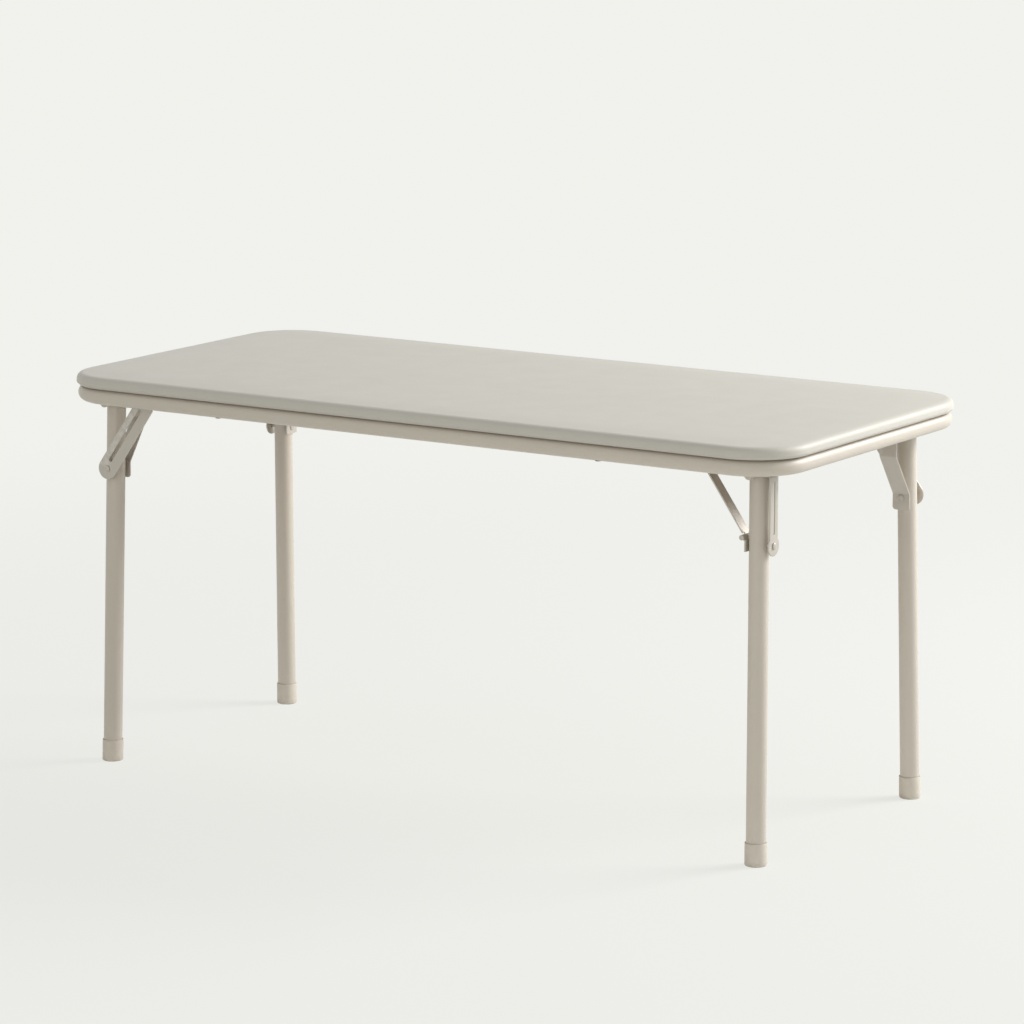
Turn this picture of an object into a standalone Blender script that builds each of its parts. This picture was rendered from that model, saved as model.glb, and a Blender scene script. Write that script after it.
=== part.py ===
"""A folding activity table: a padded top on a bent tube rail, with four legs that fold flat under it.

Metres, +Z up, +X along the table's length. The origin is on the floor under the middle of the top.
Each leg has its own local frame at its pivot: +X and +Y point outwards, away from the table's middle.
"""

import math

import bmesh
import bpy
from mathutils import Matrix, Vector

# Overall size
TABLE_LENGTH = 1.140
TABLE_WIDTH = 0.526
TABLE_HEIGHT = 0.550
CORNER_RADIUS = 0.077
CORNER_STEPS = 7

# Clearances: pieces at rest on each other, pins in their holes, and the board in its cover
SEAT_GAP = 0.0003
HOLE_CLEARANCE = 0.0003
OVERRUN = 0.004

# Padded top: a wrapped cover over foam on a board
PAD_THICKNESS = 0.018
COVER_THICKNESS = 0.0012
SEAM_INSET = 0.003
ROLL_RADIUS = 0.0125
ROLL_STEPS = 5
CROWN_RISE = 0.0015
CROWN_REACH = 0.060
CROWN_STEPS = 3
BOARD_THICKNESS = 0.009

# Bent tube rail under the edge of the top
RAIL_TUBE_RADIUS = 0.011
RAIL_WALL = 0.0012
RAIL_INSET = 0.002
RAIL_SIDES = 12

# Legs: where they pivot, how far they splay, and their tube. The four stand a little nearer the left end
PIVOT_END_INSET = 0.060
PIVOT_SIDE_INSET = 0.068
LEGS_MIDDLE = -0.0045
PIVOT_DROP = 0.0245
LEG_SPLAY_LENGTHWISE = 0.007
LEG_SPLAY_SIDEWAYS = 0.013
LEG_TUBE_RADIUS = 0.013
LEG_WALL = 0.0012
LEG_ABOVE_PIVOT = 0.010
LEG_SIDES = 16

# Foot caps
CAP_HEIGHT = 0.030
CAP_WALL = 0.0012
CAP_FLOOR = 0.004
CAP_EDGE = 0.0015

# Sheet steel of the brackets, braces and stays
SHEET = 0.002

# Mounting bracket: a base plate with an inner ear and an outer wall, which also guides the brace
INNER_EAR_GAP = 0.0015
OUTER_WALL_OFFSET = 0.0268
EAR_RADIUS = 0.007
EAR_HALF_BASE = 0.012
BASE_OUTER_END = 0.014
BASE_INNER_END = 0.024
BASE_NECK = 0.016
BASE_STRIP_WIDTH = 0.0148
GUIDE_MARGIN = 0.0022
GUIDE_END = 0.012
SLOT_CLEARANCE = 0.0004
SLOT_END_CLEARANCE = 0.001
GUIDE_STEPS = 12
SLOT_TURN_SHARE = 0.9

# Pivot rod, rivets and pins
ROD_RADIUS = 0.004
ROD_HEAD_RADIUS = 0.0058
RIVET_RADIUS = 0.003
RIVET_HEAD_RADIUS = 0.0045
PIN_RADIUS = 0.003
PIN_HEAD_RADIUS = 0.005
HEAD_THICKNESS = 0.002
FLAT_HEAD_THICKNESS = 0.0013
ROUND_SIDES = 12

# Braces: how far the rivet is under the pivot, the lean of both braces and where their sliding pins start
RIVET_DROP = 0.093
BRACE_LEAN = math.radians(35.3)
PIN_DROP = 0.0095
FOLD_ANGLE = math.radians(90)

# Plate brace, beside the leg
PLATE_BRACE_OFFSET = 0.022
PLATE_HALF_WIDTH = 0.01475
PLATE_PIN_SHIFT = 0.0075
PLATE_TIP_RADIUS = 0.0055
PLATE_TIP_TAPER = 0.011
PLATE_SLOT_HALF_WIDTH = 0.003
PLATE_SLOT_SHIFT = 0.00275
PLATE_SLOT_START = 0.0145
PLATE_SLOT_FROM_TIP = 0.0245
PLATE_FOLDED_LEAN = math.radians(87)

# Strap brace, on the inner side of the leg, with its knuckle and its eye
STRAP_WIDTH = 0.0170
STRAP_CENTRE = -0.0015
STRAP_FOLDED_LEAN = math.radians(90.5)
KNUCKLE_RADIUS = 0.0035
KNUCKLE_OFFSET = 0.0174
KNUCKLE_RISE = 0.0085
CLIP_BEND_RISE = 0.0045
CLIP_WIDTH = 0.0238
CLIP_CENTRE = 0.0019
CLIP_TAB_DROP = 0.0095
KNUCKLE_PIN_RADIUS = 0.0015
TONGUE_WIDTH = 0.0086
TONGUE_LENGTH = 0.0055
EYE_RADIUS = 0.0042

# Stay of a plate-braced leg: a bent strip from the rivet up to the end of the pivot rod
STAY_WIDTH = 0.0253
STAY_TAB_DROP = 0.0165
STAY_TAB_RISE = 0.0055
STAY_OFFSET = 0.0389
STAY_SLOPE_RISE = 0.056
STAY_TOP_RISE = 0.007
TAB_GAP = 0.0004

# Stiffener of a strap-braced leg: a slotted plate on the outer side
STIFFENER_OFFSET = 0.0207
STIFFENER_DISC_RADIUS = 0.0133
STIFFENER_HALF_WIDTH = 0.0098
STIFFENER_TOP_DROP = 0.002
STIFFENER_SLOT_HALF_WIDTH = 0.0017
STIFFENER_SLOT_START = 0.016
STIFFENER_SLOT_FROM_TOP = 0.010

# Wood screws
SCREW_RADIUS = 0.002
SCREW_HEAD_RADIUS = 0.004
SCREW_HEAD_THICKNESS = 0.0017
SCREW_GRIP = 0.0065
SCREW_TIP = 0.0015
BRACKET_SCREW_OUTER = (0.008, 0.006)
BRACKET_SCREW_NEAR = 0.050
BRACKET_SCREW_FROM_END = 0.009
RAIL_SCREW_FROM_MIDDLE = 0.300

# Places worked out from the sizes above
HALF_LENGTH = TABLE_LENGTH / 2
HALF_WIDTH = TABLE_WIDTH / 2
TOP_UNDERSIDE = TABLE_HEIGHT - PAD_THICKNESS
PIVOT_X = HALF_LENGTH - PIVOT_END_INSET
PIVOT_Y = HALF_WIDTH - PIVOT_SIDE_INSET
PIVOT_Z = TOP_UNDERSIDE - PIVOT_DROP
BASE_TOP = PIVOT_DROP - SEAT_GAP
BASE_BOTTOM = BASE_TOP - SHEET
SLIDE_PIN_RISE = PIVOT_DROP - PIN_DROP
SPLAY_X_SHARE = LEG_SPLAY_LENGTHWISE / PIVOT_Z
SPLAY_Y_SHARE = LEG_SPLAY_SIDEWAYS / PIVOT_Z
INNER_EAR_FACE = -(LEG_TUBE_RADIUS + INNER_EAR_GAP)
WALL_FACE = OUTER_WALL_OFFSET + SHEET
CAP_RADIUS = LEG_TUBE_RADIUS + HOLE_CLEARANCE + CAP_WALL

LEGS = {
    "front_left": (-1, -1),
    "front_right": (1, -1),
    "rear_left": (-1, 1),
    "rear_right": (1, 1),
}


def clear_scene():
    for old in list(bpy.data.objects):
        bpy.data.objects.remove(old)


def material(name, colour, roughness, metallic=0.0):
    made = bpy.data.materials.new(name)
    made.use_nodes = True
    shader = made.node_tree.nodes["Principled BSDF"]
    shader.inputs["Base Color"].default_value = (*colour, 1.0)
    shader.inputs["Roughness"].default_value = roughness
    shader.inputs["Metallic"].default_value = metallic
    return made


def make_materials():
    return {
        "cover": material("vinyl_cover", (0.66, 0.61, 0.54), 0.45),
        "foam": material("foam", (0.80, 0.76, 0.62), 0.95),
        "board": material("board", (0.50, 0.36, 0.22), 0.80),
        "paint": material("painted_steel", (0.64, 0.59, 0.52), 0.35),
        "brace": material("brace_steel", (0.55, 0.51, 0.46), 0.30, 0.6),
        "cap": material("foot_plastic", (0.64, 0.59, 0.52), 0.50),
        "zinc": material("fastener_steel", (0.60, 0.60, 0.60), 0.30, 1.0),
    }


# Mesh building

def loft(name, rings, closed=False):
    """A mesh through rings of points. It is capped at both ends, or joined end to end when closed."""
    shape = bmesh.new()
    rows = [[shape.verts.new(point) for point in ring] for ring in rings]
    pairs = list(zip(rows, rows[1:]))
    if closed:
        pairs.append((rows[-1], rows[0]))
    for row, following in pairs:
        for i in range(len(row)):
            j = (i + 1) % len(row)
            shape.faces.new((row[i], row[j], following[j], following[i]))
    if not closed:
        shape.faces.new(rows[0])
        shape.faces.new(rows[-1])
    bmesh.ops.recalc_face_normals(shape, faces=shape.faces)
    mesh = bpy.data.meshes.new(name)
    shape.to_mesh(mesh)
    shape.free()
    mesh.shade_smooth()
    mesh.set_sharp_from_angle(angle=math.radians(35))
    return mesh


def across(axis, along, first, second):
    """A point from its place along an axis and its two other coordinates, in X, Y, Z order."""
    point = [first, second]
    point.insert("xyz".index(axis), along)
    return Vector(point)


def prism(name, outline, axis, low, high):
    """A flat outline, given in the other two axes, pulled along an axis."""
    rings = [[across(axis, along, *point) for point in outline] for along in (low, high)]
    return loft(name, rings)


def arc(centre, radius, start, end, steps):
    """Points on a circle from one angle to another, both ends included."""
    points = []
    for i in range(steps + 1):
        angle = start + (end - start) * i / steps
        points.append((centre[0] + radius * math.cos(angle), centre[1] + radius * math.sin(angle)))
    return points


def circle(centre, radius, sides):
    return arc(centre, radius, 0, math.tau * (sides - 1) / sides, sides - 1)


def turned(name, axis, centre, profile, sides=ROUND_SIDES):
    """A round piece along an axis, from places and radii in order."""
    rings = []
    for along, radius in profile:
        rings.append([across(axis, along, *point) for point in circle(centre, radius, sides)])
    return loft(name, rings)


def headed_pin(name, axis, centre, ends, radius, head_radius, heads):
    """A pin between two places, with a head outside each end. A head of no thickness is left out."""
    low, high = ends
    low_head, high_head = heads
    profile = [(low, radius), (high, radius)]
    if low_head:
        profile = [(low - low_head, head_radius), (low, head_radius)] + profile
    if high_head:
        profile += [(high, head_radius), (high + high_head, head_radius)]
    return turned(name, axis, centre, profile)


def beside(path, distance):
    """A path moved to its left by a distance."""
    moved = []
    for i, point in enumerate(path):
        before = Vector(path[max(i - 1, 0)])
        after = Vector(path[min(i + 1, len(path) - 1)])
        forward = (after - before).normalized()
        moved.append(tuple(Vector(point) + Vector((-forward[1], forward[0])) * distance))
    return moved


def round_end(centre, first, radius, steps):
    """Half a circle that starts at a point and turns clockwise, without its two ends."""
    spoke = Vector(first) - Vector(centre)
    start = math.atan2(spoke[1], spoke[0])
    return arc(centre, radius, start, start - math.pi, steps)[1:-1]


def widened(path, half_width, steps):
    """The outline of a band along a path, with round ends."""
    left = beside(path, half_width)
    right = beside(path, -half_width)[::-1]
    far_end = round_end(path[-1], left[-1], half_width, steps)
    near_end = round_end(path[0], right[-1], half_width, steps)
    return left + far_end + right + near_end


def sheet_along(path, thickness):
    """The outline of a bent sheet whose middle follows a path, with square ends."""
    left, right = [], []
    for i, point in enumerate(path):
        here = Vector(point)
        arriving = (here - Vector(path[i - 1])).normalized() if i else None
        leaving = (Vector(path[i + 1]) - here).normalized() if i + 1 < len(path) else None
        arriving = arriving or leaving
        leaving = leaving or arriving
        middle = (arriving + leaving).normalized()
        reach = thickness / 2 / middle.dot(leaving)
        normal = Vector((-middle[1], middle[0])) * reach
        left.append(tuple(here + normal))
        right.append(tuple(here - normal))
    return left + right[::-1]


def barrel_end(centre, forward, radius):
    """The outline of a rolled barrel at the end of a sheet that arrives in a direction."""
    back = math.atan2(-forward[1], -forward[0])
    bite = math.asin(SHEET / 2 / radius)
    return arc(centre, radius, back - bite, back + bite - math.tau, ROUND_SIDES)


# Objects and Booleans

def place(name, mesh, finish=None, parent=None, at=(0, 0, 0)):
    """An object from a mesh whose points are in its parent's frame, with its origin moved to a place."""
    mesh.transform(Matrix.Translation(-Vector(at)))
    made = bpy.data.objects.new(name, mesh)
    bpy.context.scene.collection.objects.link(made)
    made.parent = parent
    made.location = at
    if finish:
        mesh.materials.append(finish)
    return made


def helper(mesh, parent=None):
    """A shape that only a Boolean uses."""
    made = place(mesh.name, mesh, parent=parent)
    made.hide_render = True
    made.display_type = "WIRE"
    return made


def combine(target, operation, meshes):
    """Joins shapes to an object, or cuts them from it."""
    for mesh in meshes:
        modifier = target.modifiers.new(mesh.name, "BOOLEAN")
        modifier.operation = operation
        modifier.solver = "EXACT"
        modifier.object = helper(mesh, target.parent)


def empty(name, location, scale=(1, 1, 1), parent=None):
    made = bpy.data.objects.new(name, None)
    bpy.context.scene.collection.objects.link(made)
    made.parent = parent
    made.location = location
    made.scale = scale
    return made


# Plan outlines

def plan_outline(inset):
    """The rounded rectangle of the top, moved inwards by an inset."""
    radius = CORNER_RADIUS - inset
    reach_x = HALF_LENGTH - CORNER_RADIUS
    reach_y = HALF_WIDTH - CORNER_RADIUS
    outline = []
    for quarter, (side_x, side_y) in enumerate(((1, 1), (-1, 1), (-1, -1), (1, -1))):
        start = quarter * math.pi / 2
        centre = (side_x * reach_x, side_y * reach_y)
        outline += arc(centre, radius, start, start + math.pi / 2, CORNER_STEPS)
    return outline


def plan_ring(inset, height):
    return [Vector((x, y, height)) for x, y in plan_outline(inset)]


def pad_profile(shrink):
    """Insets and heights of the pad's outer face from its lower edge to the middle, moved inwards."""
    top = TABLE_HEIGHT - shrink
    edge_top = top - CROWN_RISE
    profile = [(SEAM_INSET + shrink, TOP_UNDERSIDE)]
    roll_centre = edge_top - (ROLL_RADIUS - shrink)
    for i in range(ROLL_STEPS + 1):
        angle = math.pi / 2 * i / ROLL_STEPS
        inset = ROLL_RADIUS - (ROLL_RADIUS - shrink) * math.cos(angle)
        profile.append((inset, roll_centre + (ROLL_RADIUS - shrink) * math.sin(angle)))
    for i in range(1, CROWN_STEPS + 1):
        share = i / CROWN_STEPS
        inset = ROLL_RADIUS + (CROWN_REACH - ROLL_RADIUS) * share
        profile.append((inset, edge_top + CROWN_RISE * math.sin(math.pi / 2 * share)))
    return profile


# Top

def make_cover(finishes):
    outer = [plan_ring(*point) for point in pad_profile(0)]
    inner = [plan_ring(*point) for point in pad_profile(COVER_THICKNESS)]
    cover = place("top_cover", loft("top_cover", outer), finishes["cover"])
    opening = plan_ring(SEAM_INSET + COVER_THICKNESS, TOP_UNDERSIDE - OVERRUN)
    combine(cover, "DIFFERENCE", [loft("cover_hollow", [opening] + inner)])


def make_foam(finishes):
    shrink = COVER_THICKNESS + SEAT_GAP
    board_top = TOP_UNDERSIDE + BOARD_THICKNESS + SEAT_GAP
    rings = [plan_ring(inset, height) for inset, height in pad_profile(shrink) if height > board_top]
    above_roll = board_top - (TABLE_HEIGHT - CROWN_RISE - ROLL_RADIUS)
    inset = ROLL_RADIUS - math.sqrt((ROLL_RADIUS - shrink) ** 2 - above_roll ** 2)
    place("foam_pad", loft("foam_pad", [plan_ring(inset, board_top)] + rings), finishes["foam"])


def make_board(finishes):
    inset = SEAM_INSET + COVER_THICKNESS + SEAT_GAP
    outline = plan_outline(inset)
    board_top = TOP_UNDERSIDE + BOARD_THICKNESS
    mesh = prism("top_board", outline, "z", TOP_UNDERSIDE, board_top)
    board = place("top_board", mesh, finishes["board"])
    hole_top = TOP_UNDERSIDE + SCREW_GRIP + HOLE_CLEARANCE
    radius = SCREW_RADIUS + HOLE_CLEARANCE
    holes = []
    for name, x, y, _ in screw_places():
        profile = [(TOP_UNDERSIDE - OVERRUN, radius), (hole_top, radius)]
        holes.append(turned(f"pilot_{name}", "z", (x, y), profile, 8))
    combine(board, "DIFFERENCE", holes)


def rail_centre():
    """Inset and height of the rail tube's middle."""
    return RAIL_INSET + RAIL_TUBE_RADIUS, TOP_UNDERSIDE - SEAT_GAP - RAIL_TUBE_RADIUS


def rail_mesh(name, radius):
    """The rail's ring, with rings of points lying in its long direction."""
    inset, height = rail_centre()
    rings = []
    for angle_point in circle((0, 0), radius, RAIL_SIDES):
        rings.append(plan_ring(inset + angle_point[0], height + angle_point[1]))
    return loft(name, rings, closed=True)


def make_rail(finishes):
    rail = place("frame_rail", rail_mesh("frame_rail", RAIL_TUBE_RADIUS), finishes["paint"])
    inner = rail_mesh("rail_bore", RAIL_TUBE_RADIUS - RAIL_WALL)
    _, height = rail_centre()
    radius = SCREW_RADIUS + HOLE_CLEARANCE
    reach = RAIL_TUBE_RADIUS + OVERRUN
    ends = [(height - reach, radius), (height + reach, radius)]
    holes = []
    for name, x, y, is_rail in screw_places():
        if is_rail:
            holes.append(turned(f"rail_hole_{name}", "z", (x, y), ends))
    combine(rail, "DIFFERENCE", [inner] + holes)


# Screws

def guide_far_end(kind):
    """The furthest point of the guide wall from the pivot, measured inwards."""
    return slide_pin_at(kind, 1.0)[0] + GUIDE_END


def screw_places():
    """Name, X, Y and whether it holds the rail, for each screw in the board."""
    places = []
    strip = WALL_FACE - BASE_STRIP_WIDTH / 2
    for leg, (side_x, side_y) in LEGS.items():
        far = guide_far_end(kind_of(leg)) - BRACKET_SCREW_FROM_END
        spots = (BRACKET_SCREW_OUTER, (-BRACKET_SCREW_NEAR, strip), (-far, strip))
        for number, (out_x, out_y) in enumerate(spots, 1):
            x = LEGS_MIDDLE + side_x * (PIVOT_X + out_x)
            y = side_y * (PIVOT_Y + out_y)
            places.append((f"bracket_screw_{leg}_{number}", x, y, False))
    inset, _ = rail_centre()
    for leg, (side_x, side_y) in LEGS.items():
        x = side_x * RAIL_SCREW_FROM_MIDDLE
        places.append((f"rail_screw_{leg}", x, side_y * (HALF_WIDTH - inset), True))
    return places


def make_screws(finishes):
    """Pan-headed screws that pass through a bracket's base or the rail, up into the board."""
    for name, x, y, is_rail in screw_places():
        under = 2 * RAIL_TUBE_RADIUS if is_rail else SHEET
        seat = TOP_UNDERSIDE - SEAT_GAP - under - SEAT_GAP
        tip = TOP_UNDERSIDE + SCREW_GRIP
        profile = [
            (seat - SCREW_HEAD_THICKNESS, SCREW_HEAD_RADIUS / 2),
            (seat - SCREW_HEAD_THICKNESS / 2, SCREW_HEAD_RADIUS),
            (seat, SCREW_HEAD_RADIUS),
            (seat, SCREW_RADIUS),
            (tip - SCREW_TIP, SCREW_RADIUS),
            (tip, SCREW_RADIUS / 2),
        ]
        finish = finishes["paint" if is_rail else "zinc"]
        place(name, turned(name, "z", (x, y), profile, 8), finish)


# Folding geometry, in a leg's frame, measured inwards from the pivot and upwards

def kind_of(leg):
    """The two kinds of leg stand on opposite corners."""
    side_x, side_y = LEGS[leg]
    return "plate" if side_x == side_y else "strap"


def brace_hinge(kind):
    """The brace's hinge on the leg at rest, inwards and up from the pivot."""
    if kind == "plate":
        return 0.0, -RIVET_DROP
    return KNUCKLE_OFFSET, KNUCKLE_RISE - RIVET_DROP


def pin_shift(kind):
    """How far the sliding pin is from the brace's middle, towards its upper edge."""
    return PLATE_PIN_SHIFT if kind == "plate" else 0.0


def brace_length(kind):
    """From the hinge to the sliding pin, along the brace."""
    rise = SLIDE_PIN_RISE - brace_hinge(kind)[1] - pin_shift(kind) * math.sin(BRACE_LEAN)
    return rise / math.cos(BRACE_LEAN)


def folded_lean(kind):
    return PLATE_FOLDED_LEAN if kind == "plate" else STRAP_FOLDED_LEAN


def slide_pin_at(kind, share):
    """Where the brace's sliding pin is when the leg has folded by a share of its range."""
    fold = FOLD_ANGLE * share
    lean = BRACE_LEAN + (folded_lean(kind) - BRACE_LEAN) * share
    inwards, up = brace_hinge(kind)
    hinge_in = inwards * math.cos(fold) - up * math.sin(fold)
    hinge_up = inwards * math.sin(fold) + up * math.cos(fold)
    length = brace_length(kind)
    shift = pin_shift(kind)
    pin_in = hinge_in + length * math.sin(lean) - shift * math.cos(lean)
    pin_up = hinge_up + length * math.cos(lean) + shift * math.sin(lean)
    return pin_in, pin_up


def guide_path(kind, first_share, last_share, steps):
    """The sliding pin's path in the leg's frame, with X outwards, between two shares of the fold."""
    path = []
    for i in range(steps + 1):
        inwards, up = slide_pin_at(kind, first_share + (last_share - first_share) * i / steps)
        path.append((-inwards, up))
    return path


def lengthened(path, end, neighbour):
    """A path with one end moved on by the slot's end clearance."""
    onwards = (Vector(path[end]) - Vector(path[neighbour])).normalized()
    moved = list(path)
    moved[end] = tuple(Vector(path[end]) + onwards * SLOT_END_CLEARANCE)
    return moved


def guide_run(kind):
    """The long run of the guide slot, from near its folded end to its rest end."""
    return lengthened(guide_path(kind, SLOT_TURN_SHARE, 0, GUIDE_STEPS), -1, -2)


def guide_tail(kind):
    """The short last part of the slot, where the pin's path turns at the end of the fold."""
    return lengthened(guide_path(kind, 1, SLOT_TURN_SHARE, 1), 0, 1)


def leg_axis(height):
    """The leg tube's middle at a height measured from the pivot."""
    return -height * SPLAY_X_SHARE, -height * SPLAY_Y_SHARE


# Brackets

def wall_outline(kind):
    """The bracket's outer wall: round under the pivot rod, then following under the guide slot."""
    under = beside(guide_run(kind), -(PIN_RADIUS + SLOT_CLEARANCE + GUIDE_MARGIN))
    far = -guide_far_end(kind)
    inner = (BASE_BOTTOM + BASE_TOP) / 2
    outline = [(far, inner), (far, under[0][1])] + under
    outline += [(-EAR_RADIUS - EAR_HALF_BASE, under[-1][1])]
    outline += arc((0, 0), EAR_RADIUS, math.pi, math.tau, 6)
    outline += [(EAR_HALF_BASE, inner)]
    return outline


def ear_outline():
    inner = (BASE_BOTTOM + BASE_TOP) / 2
    round_end = arc((0, 0), EAR_RADIUS, math.pi, math.tau, 6)
    return [(-EAR_HALF_BASE, inner)] + round_end + [(EAR_HALF_BASE, inner)]


def base_outline(kind):
    ear_outside = INNER_EAR_FACE - SHEET
    strip_inside = WALL_FACE - BASE_STRIP_WIDTH
    far = -guide_far_end(kind)
    return [
        (BASE_OUTER_END, ear_outside),
        (BASE_OUTER_END, WALL_FACE),
        (far, WALL_FACE),
        (far, strip_inside),
        (-BASE_INNER_END - BASE_NECK, strip_inside),
        (-BASE_INNER_END, ear_outside),
    ]


def make_bracket(leg, frame, finishes):
    kind = kind_of(leg)
    name = f"mounting_bracket_{leg}"
    plate = prism(name, base_outline(kind), "z", BASE_BOTTOM, BASE_TOP)
    base = place(name, plate, finishes["paint"], frame)
    wall = prism(f"wall_{leg}", wall_outline(kind), "y", OUTER_WALL_OFFSET, WALL_FACE)
    ear = prism(f"ear_{leg}", ear_outline(), "y", INNER_EAR_FACE - SHEET, INNER_EAR_FACE)
    combine(base, "UNION", [wall, ear])
    ends = (INNER_EAR_FACE - SHEET - OVERRUN, WALL_FACE + OVERRUN)
    radius = ROD_RADIUS + HOLE_CLEARANCE
    cuts = [turned(f"rod_bore_{leg}", "y", (0, 0), [(along, radius) for along in ends])]
    for part, path in (("run", guide_run(kind)), ("tail", guide_tail(kind))):
        shape = widened(path, PIN_RADIUS + SLOT_CLEARANCE, 6)
        through = (OUTER_WALL_OFFSET - OVERRUN, WALL_FACE + OVERRUN)
        cuts.append(prism(f"guide_slot_{part}_{leg}", shape, "y", *through))
    side_x, side_y = LEGS[leg]
    radius = SCREW_RADIUS + HOLE_CLEARANCE
    ends = [(BASE_BOTTOM - OVERRUN, radius), (BASE_TOP + OVERRUN, radius)]
    for screw, x, y, _ in screw_places():
        if screw.startswith(f"bracket_screw_{leg}"):
            centre = (side_x * (x - LEGS_MIDDLE) - PIVOT_X, side_y * y - PIVOT_Y)
            cuts.append(turned(f"hole_{screw}", "z", centre, ends, 8))
    combine(base, "DIFFERENCE", cuts)


# Legs

def leg_ring(height, radius):
    return [Vector((x, y, height)) for x, y in circle(leg_axis(height), radius, LEG_SIDES)]


def cross_hole(name, axis, centre, radius, half_length):
    return turned(name, axis, centre, [(-half_length, radius), (half_length, radius)])


def make_leg_tube(leg, frame, finishes):
    kind = kind_of(leg)
    bottom = -PIVOT_Z + CAP_FLOOR + SEAT_GAP
    rings = [
        leg_ring(LEG_ABOVE_PIVOT, LEG_TUBE_RADIUS),
        leg_ring(bottom, LEG_TUBE_RADIUS),
        leg_ring(bottom, LEG_TUBE_RADIUS - LEG_WALL),
        leg_ring(LEG_ABOVE_PIVOT, LEG_TUBE_RADIUS - LEG_WALL),
    ]
    name = f"leg_tube_{leg}"
    tube = place(name, loft(name, rings, closed=True), finishes["paint"], frame)
    reach = 2 * LEG_TUBE_RADIUS
    radius = ROD_RADIUS + HOLE_CLEARANCE
    rod_hole = cross_hole(f"tube_rod_hole_{leg}", "y", (0, 0), radius, reach)
    rivet_axis, rivet_place = rivet_line(kind)
    radius = RIVET_RADIUS + HOLE_CLEARANCE
    rivet_hole = cross_hole(f"tube_rivet_hole_{leg}", rivet_axis, rivet_place, radius, reach)
    combine(tube, "DIFFERENCE", [rod_hole, rivet_hole])


def make_foot_cap(leg, frame, finishes):
    """A cup on the leg's end, flat on the floor."""
    floor = -PIVOT_Z
    bore = LEG_TUBE_RADIUS + HOLE_CLEARANCE
    rings = [
        leg_ring(floor + CAP_FLOOR, bore),
        leg_ring(floor + CAP_HEIGHT, bore),
        leg_ring(floor + CAP_HEIGHT, CAP_RADIUS - CAP_WALL / 2),
        leg_ring(floor + CAP_HEIGHT - CAP_EDGE, CAP_RADIUS),
        leg_ring(floor + CAP_EDGE, CAP_RADIUS),
        leg_ring(floor, CAP_RADIUS - CAP_EDGE),
    ]
    name = f"foot_cap_{leg}"
    place(name, loft(name, rings), finishes["cap"], frame)


def rivet_line(kind):
    """The rivet's axis and its place in the other two axes."""
    axis_x, axis_y = leg_axis(-RIVET_DROP)
    if kind == "plate":
        return "y", (0, -RIVET_DROP)
    return "x", (axis_y, -RIVET_DROP)


def stay_tab_face():
    """Middle of the stay's tab, beside the leg tube at the rivet, on its inner side."""
    return leg_axis(-RIVET_DROP)[1] - LEG_TUBE_RADIUS - TAB_GAP - SHEET / 2


def clip_tab_face():
    return leg_axis(-RIVET_DROP)[0] - LEG_TUBE_RADIUS - TAB_GAP - SHEET / 2


def make_pivot_rod(leg, frame, finishes):
    """The rod that the leg turns on. A plate-braced leg's rod runs on to the top of its stay."""
    if kind_of(leg) == "plate":
        low = stay_tab_face() - STAY_OFFSET - SHEET / 2 - SEAT_GAP
    else:
        low = INNER_EAR_FACE - SHEET - SEAT_GAP
    ends = (low, WALL_FACE + SEAT_GAP)
    name = f"pivot_rod_{leg}"
    heads = (HEAD_THICKNESS, HEAD_THICKNESS)
    mesh = headed_pin(name, "y", (0, 0), ends, ROD_RADIUS, ROD_HEAD_RADIUS, heads)
    place(name, mesh, finishes["paint"], frame)


def make_rivet(leg, frame, finishes):
    kind = kind_of(leg)
    axis, centre = rivet_line(kind)
    if kind == "plate":
        low = stay_tab_face() - SHEET / 2 - SEAT_GAP
        high = PLATE_BRACE_OFFSET + SHEET + SEAT_GAP
    else:
        low = clip_tab_face() - SHEET / 2 - SEAT_GAP
        high = STIFFENER_OFFSET + SHEET + SEAT_GAP
    name = f"leg_rivet_{leg}"
    heads = (FLAT_HEAD_THICKNESS, HEAD_THICKNESS)
    mesh = headed_pin(name, axis, centre, (low, high), RIVET_RADIUS, RIVET_HEAD_RADIUS, heads)
    place(name, mesh, finishes["brace"], frame)


def make_stay(leg, frame, finishes):
    """The bent strip from the rivet up to the inner end of the pivot rod."""
    tab = stay_tab_face()
    bend = STAY_TAB_RISE - RIVET_DROP
    path = [
        (tab, -RIVET_DROP - STAY_TAB_DROP),
        (tab, bend),
        (tab - STAY_OFFSET, bend + STAY_SLOPE_RISE),
        (tab - STAY_OFFSET, STAY_TOP_RISE),
    ]
    name = f"leg_stay_{leg}"
    mesh = prism(name, sheet_along(path, SHEET), "x", -STAY_WIDTH / 2, STAY_WIDTH / 2)
    stay = place(name, mesh, finishes["brace"], frame)
    reach = SHEET + OVERRUN
    radius = RIVET_RADIUS + HOLE_CLEARANCE
    ends = [(tab - reach, radius), (tab + reach, radius)]
    rivet_hole = turned(f"stay_rivet_hole_{leg}", "y", (0, -RIVET_DROP), ends)
    top = tab - STAY_OFFSET
    radius = ROD_RADIUS + HOLE_CLEARANCE
    ends = [(top - reach, radius), (top + reach, radius)]
    rod_hole = turned(f"stay_rod_hole_{leg}", "y", (0, 0), ends)
    combine(stay, "DIFFERENCE", [rivet_hole, rod_hole])


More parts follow.
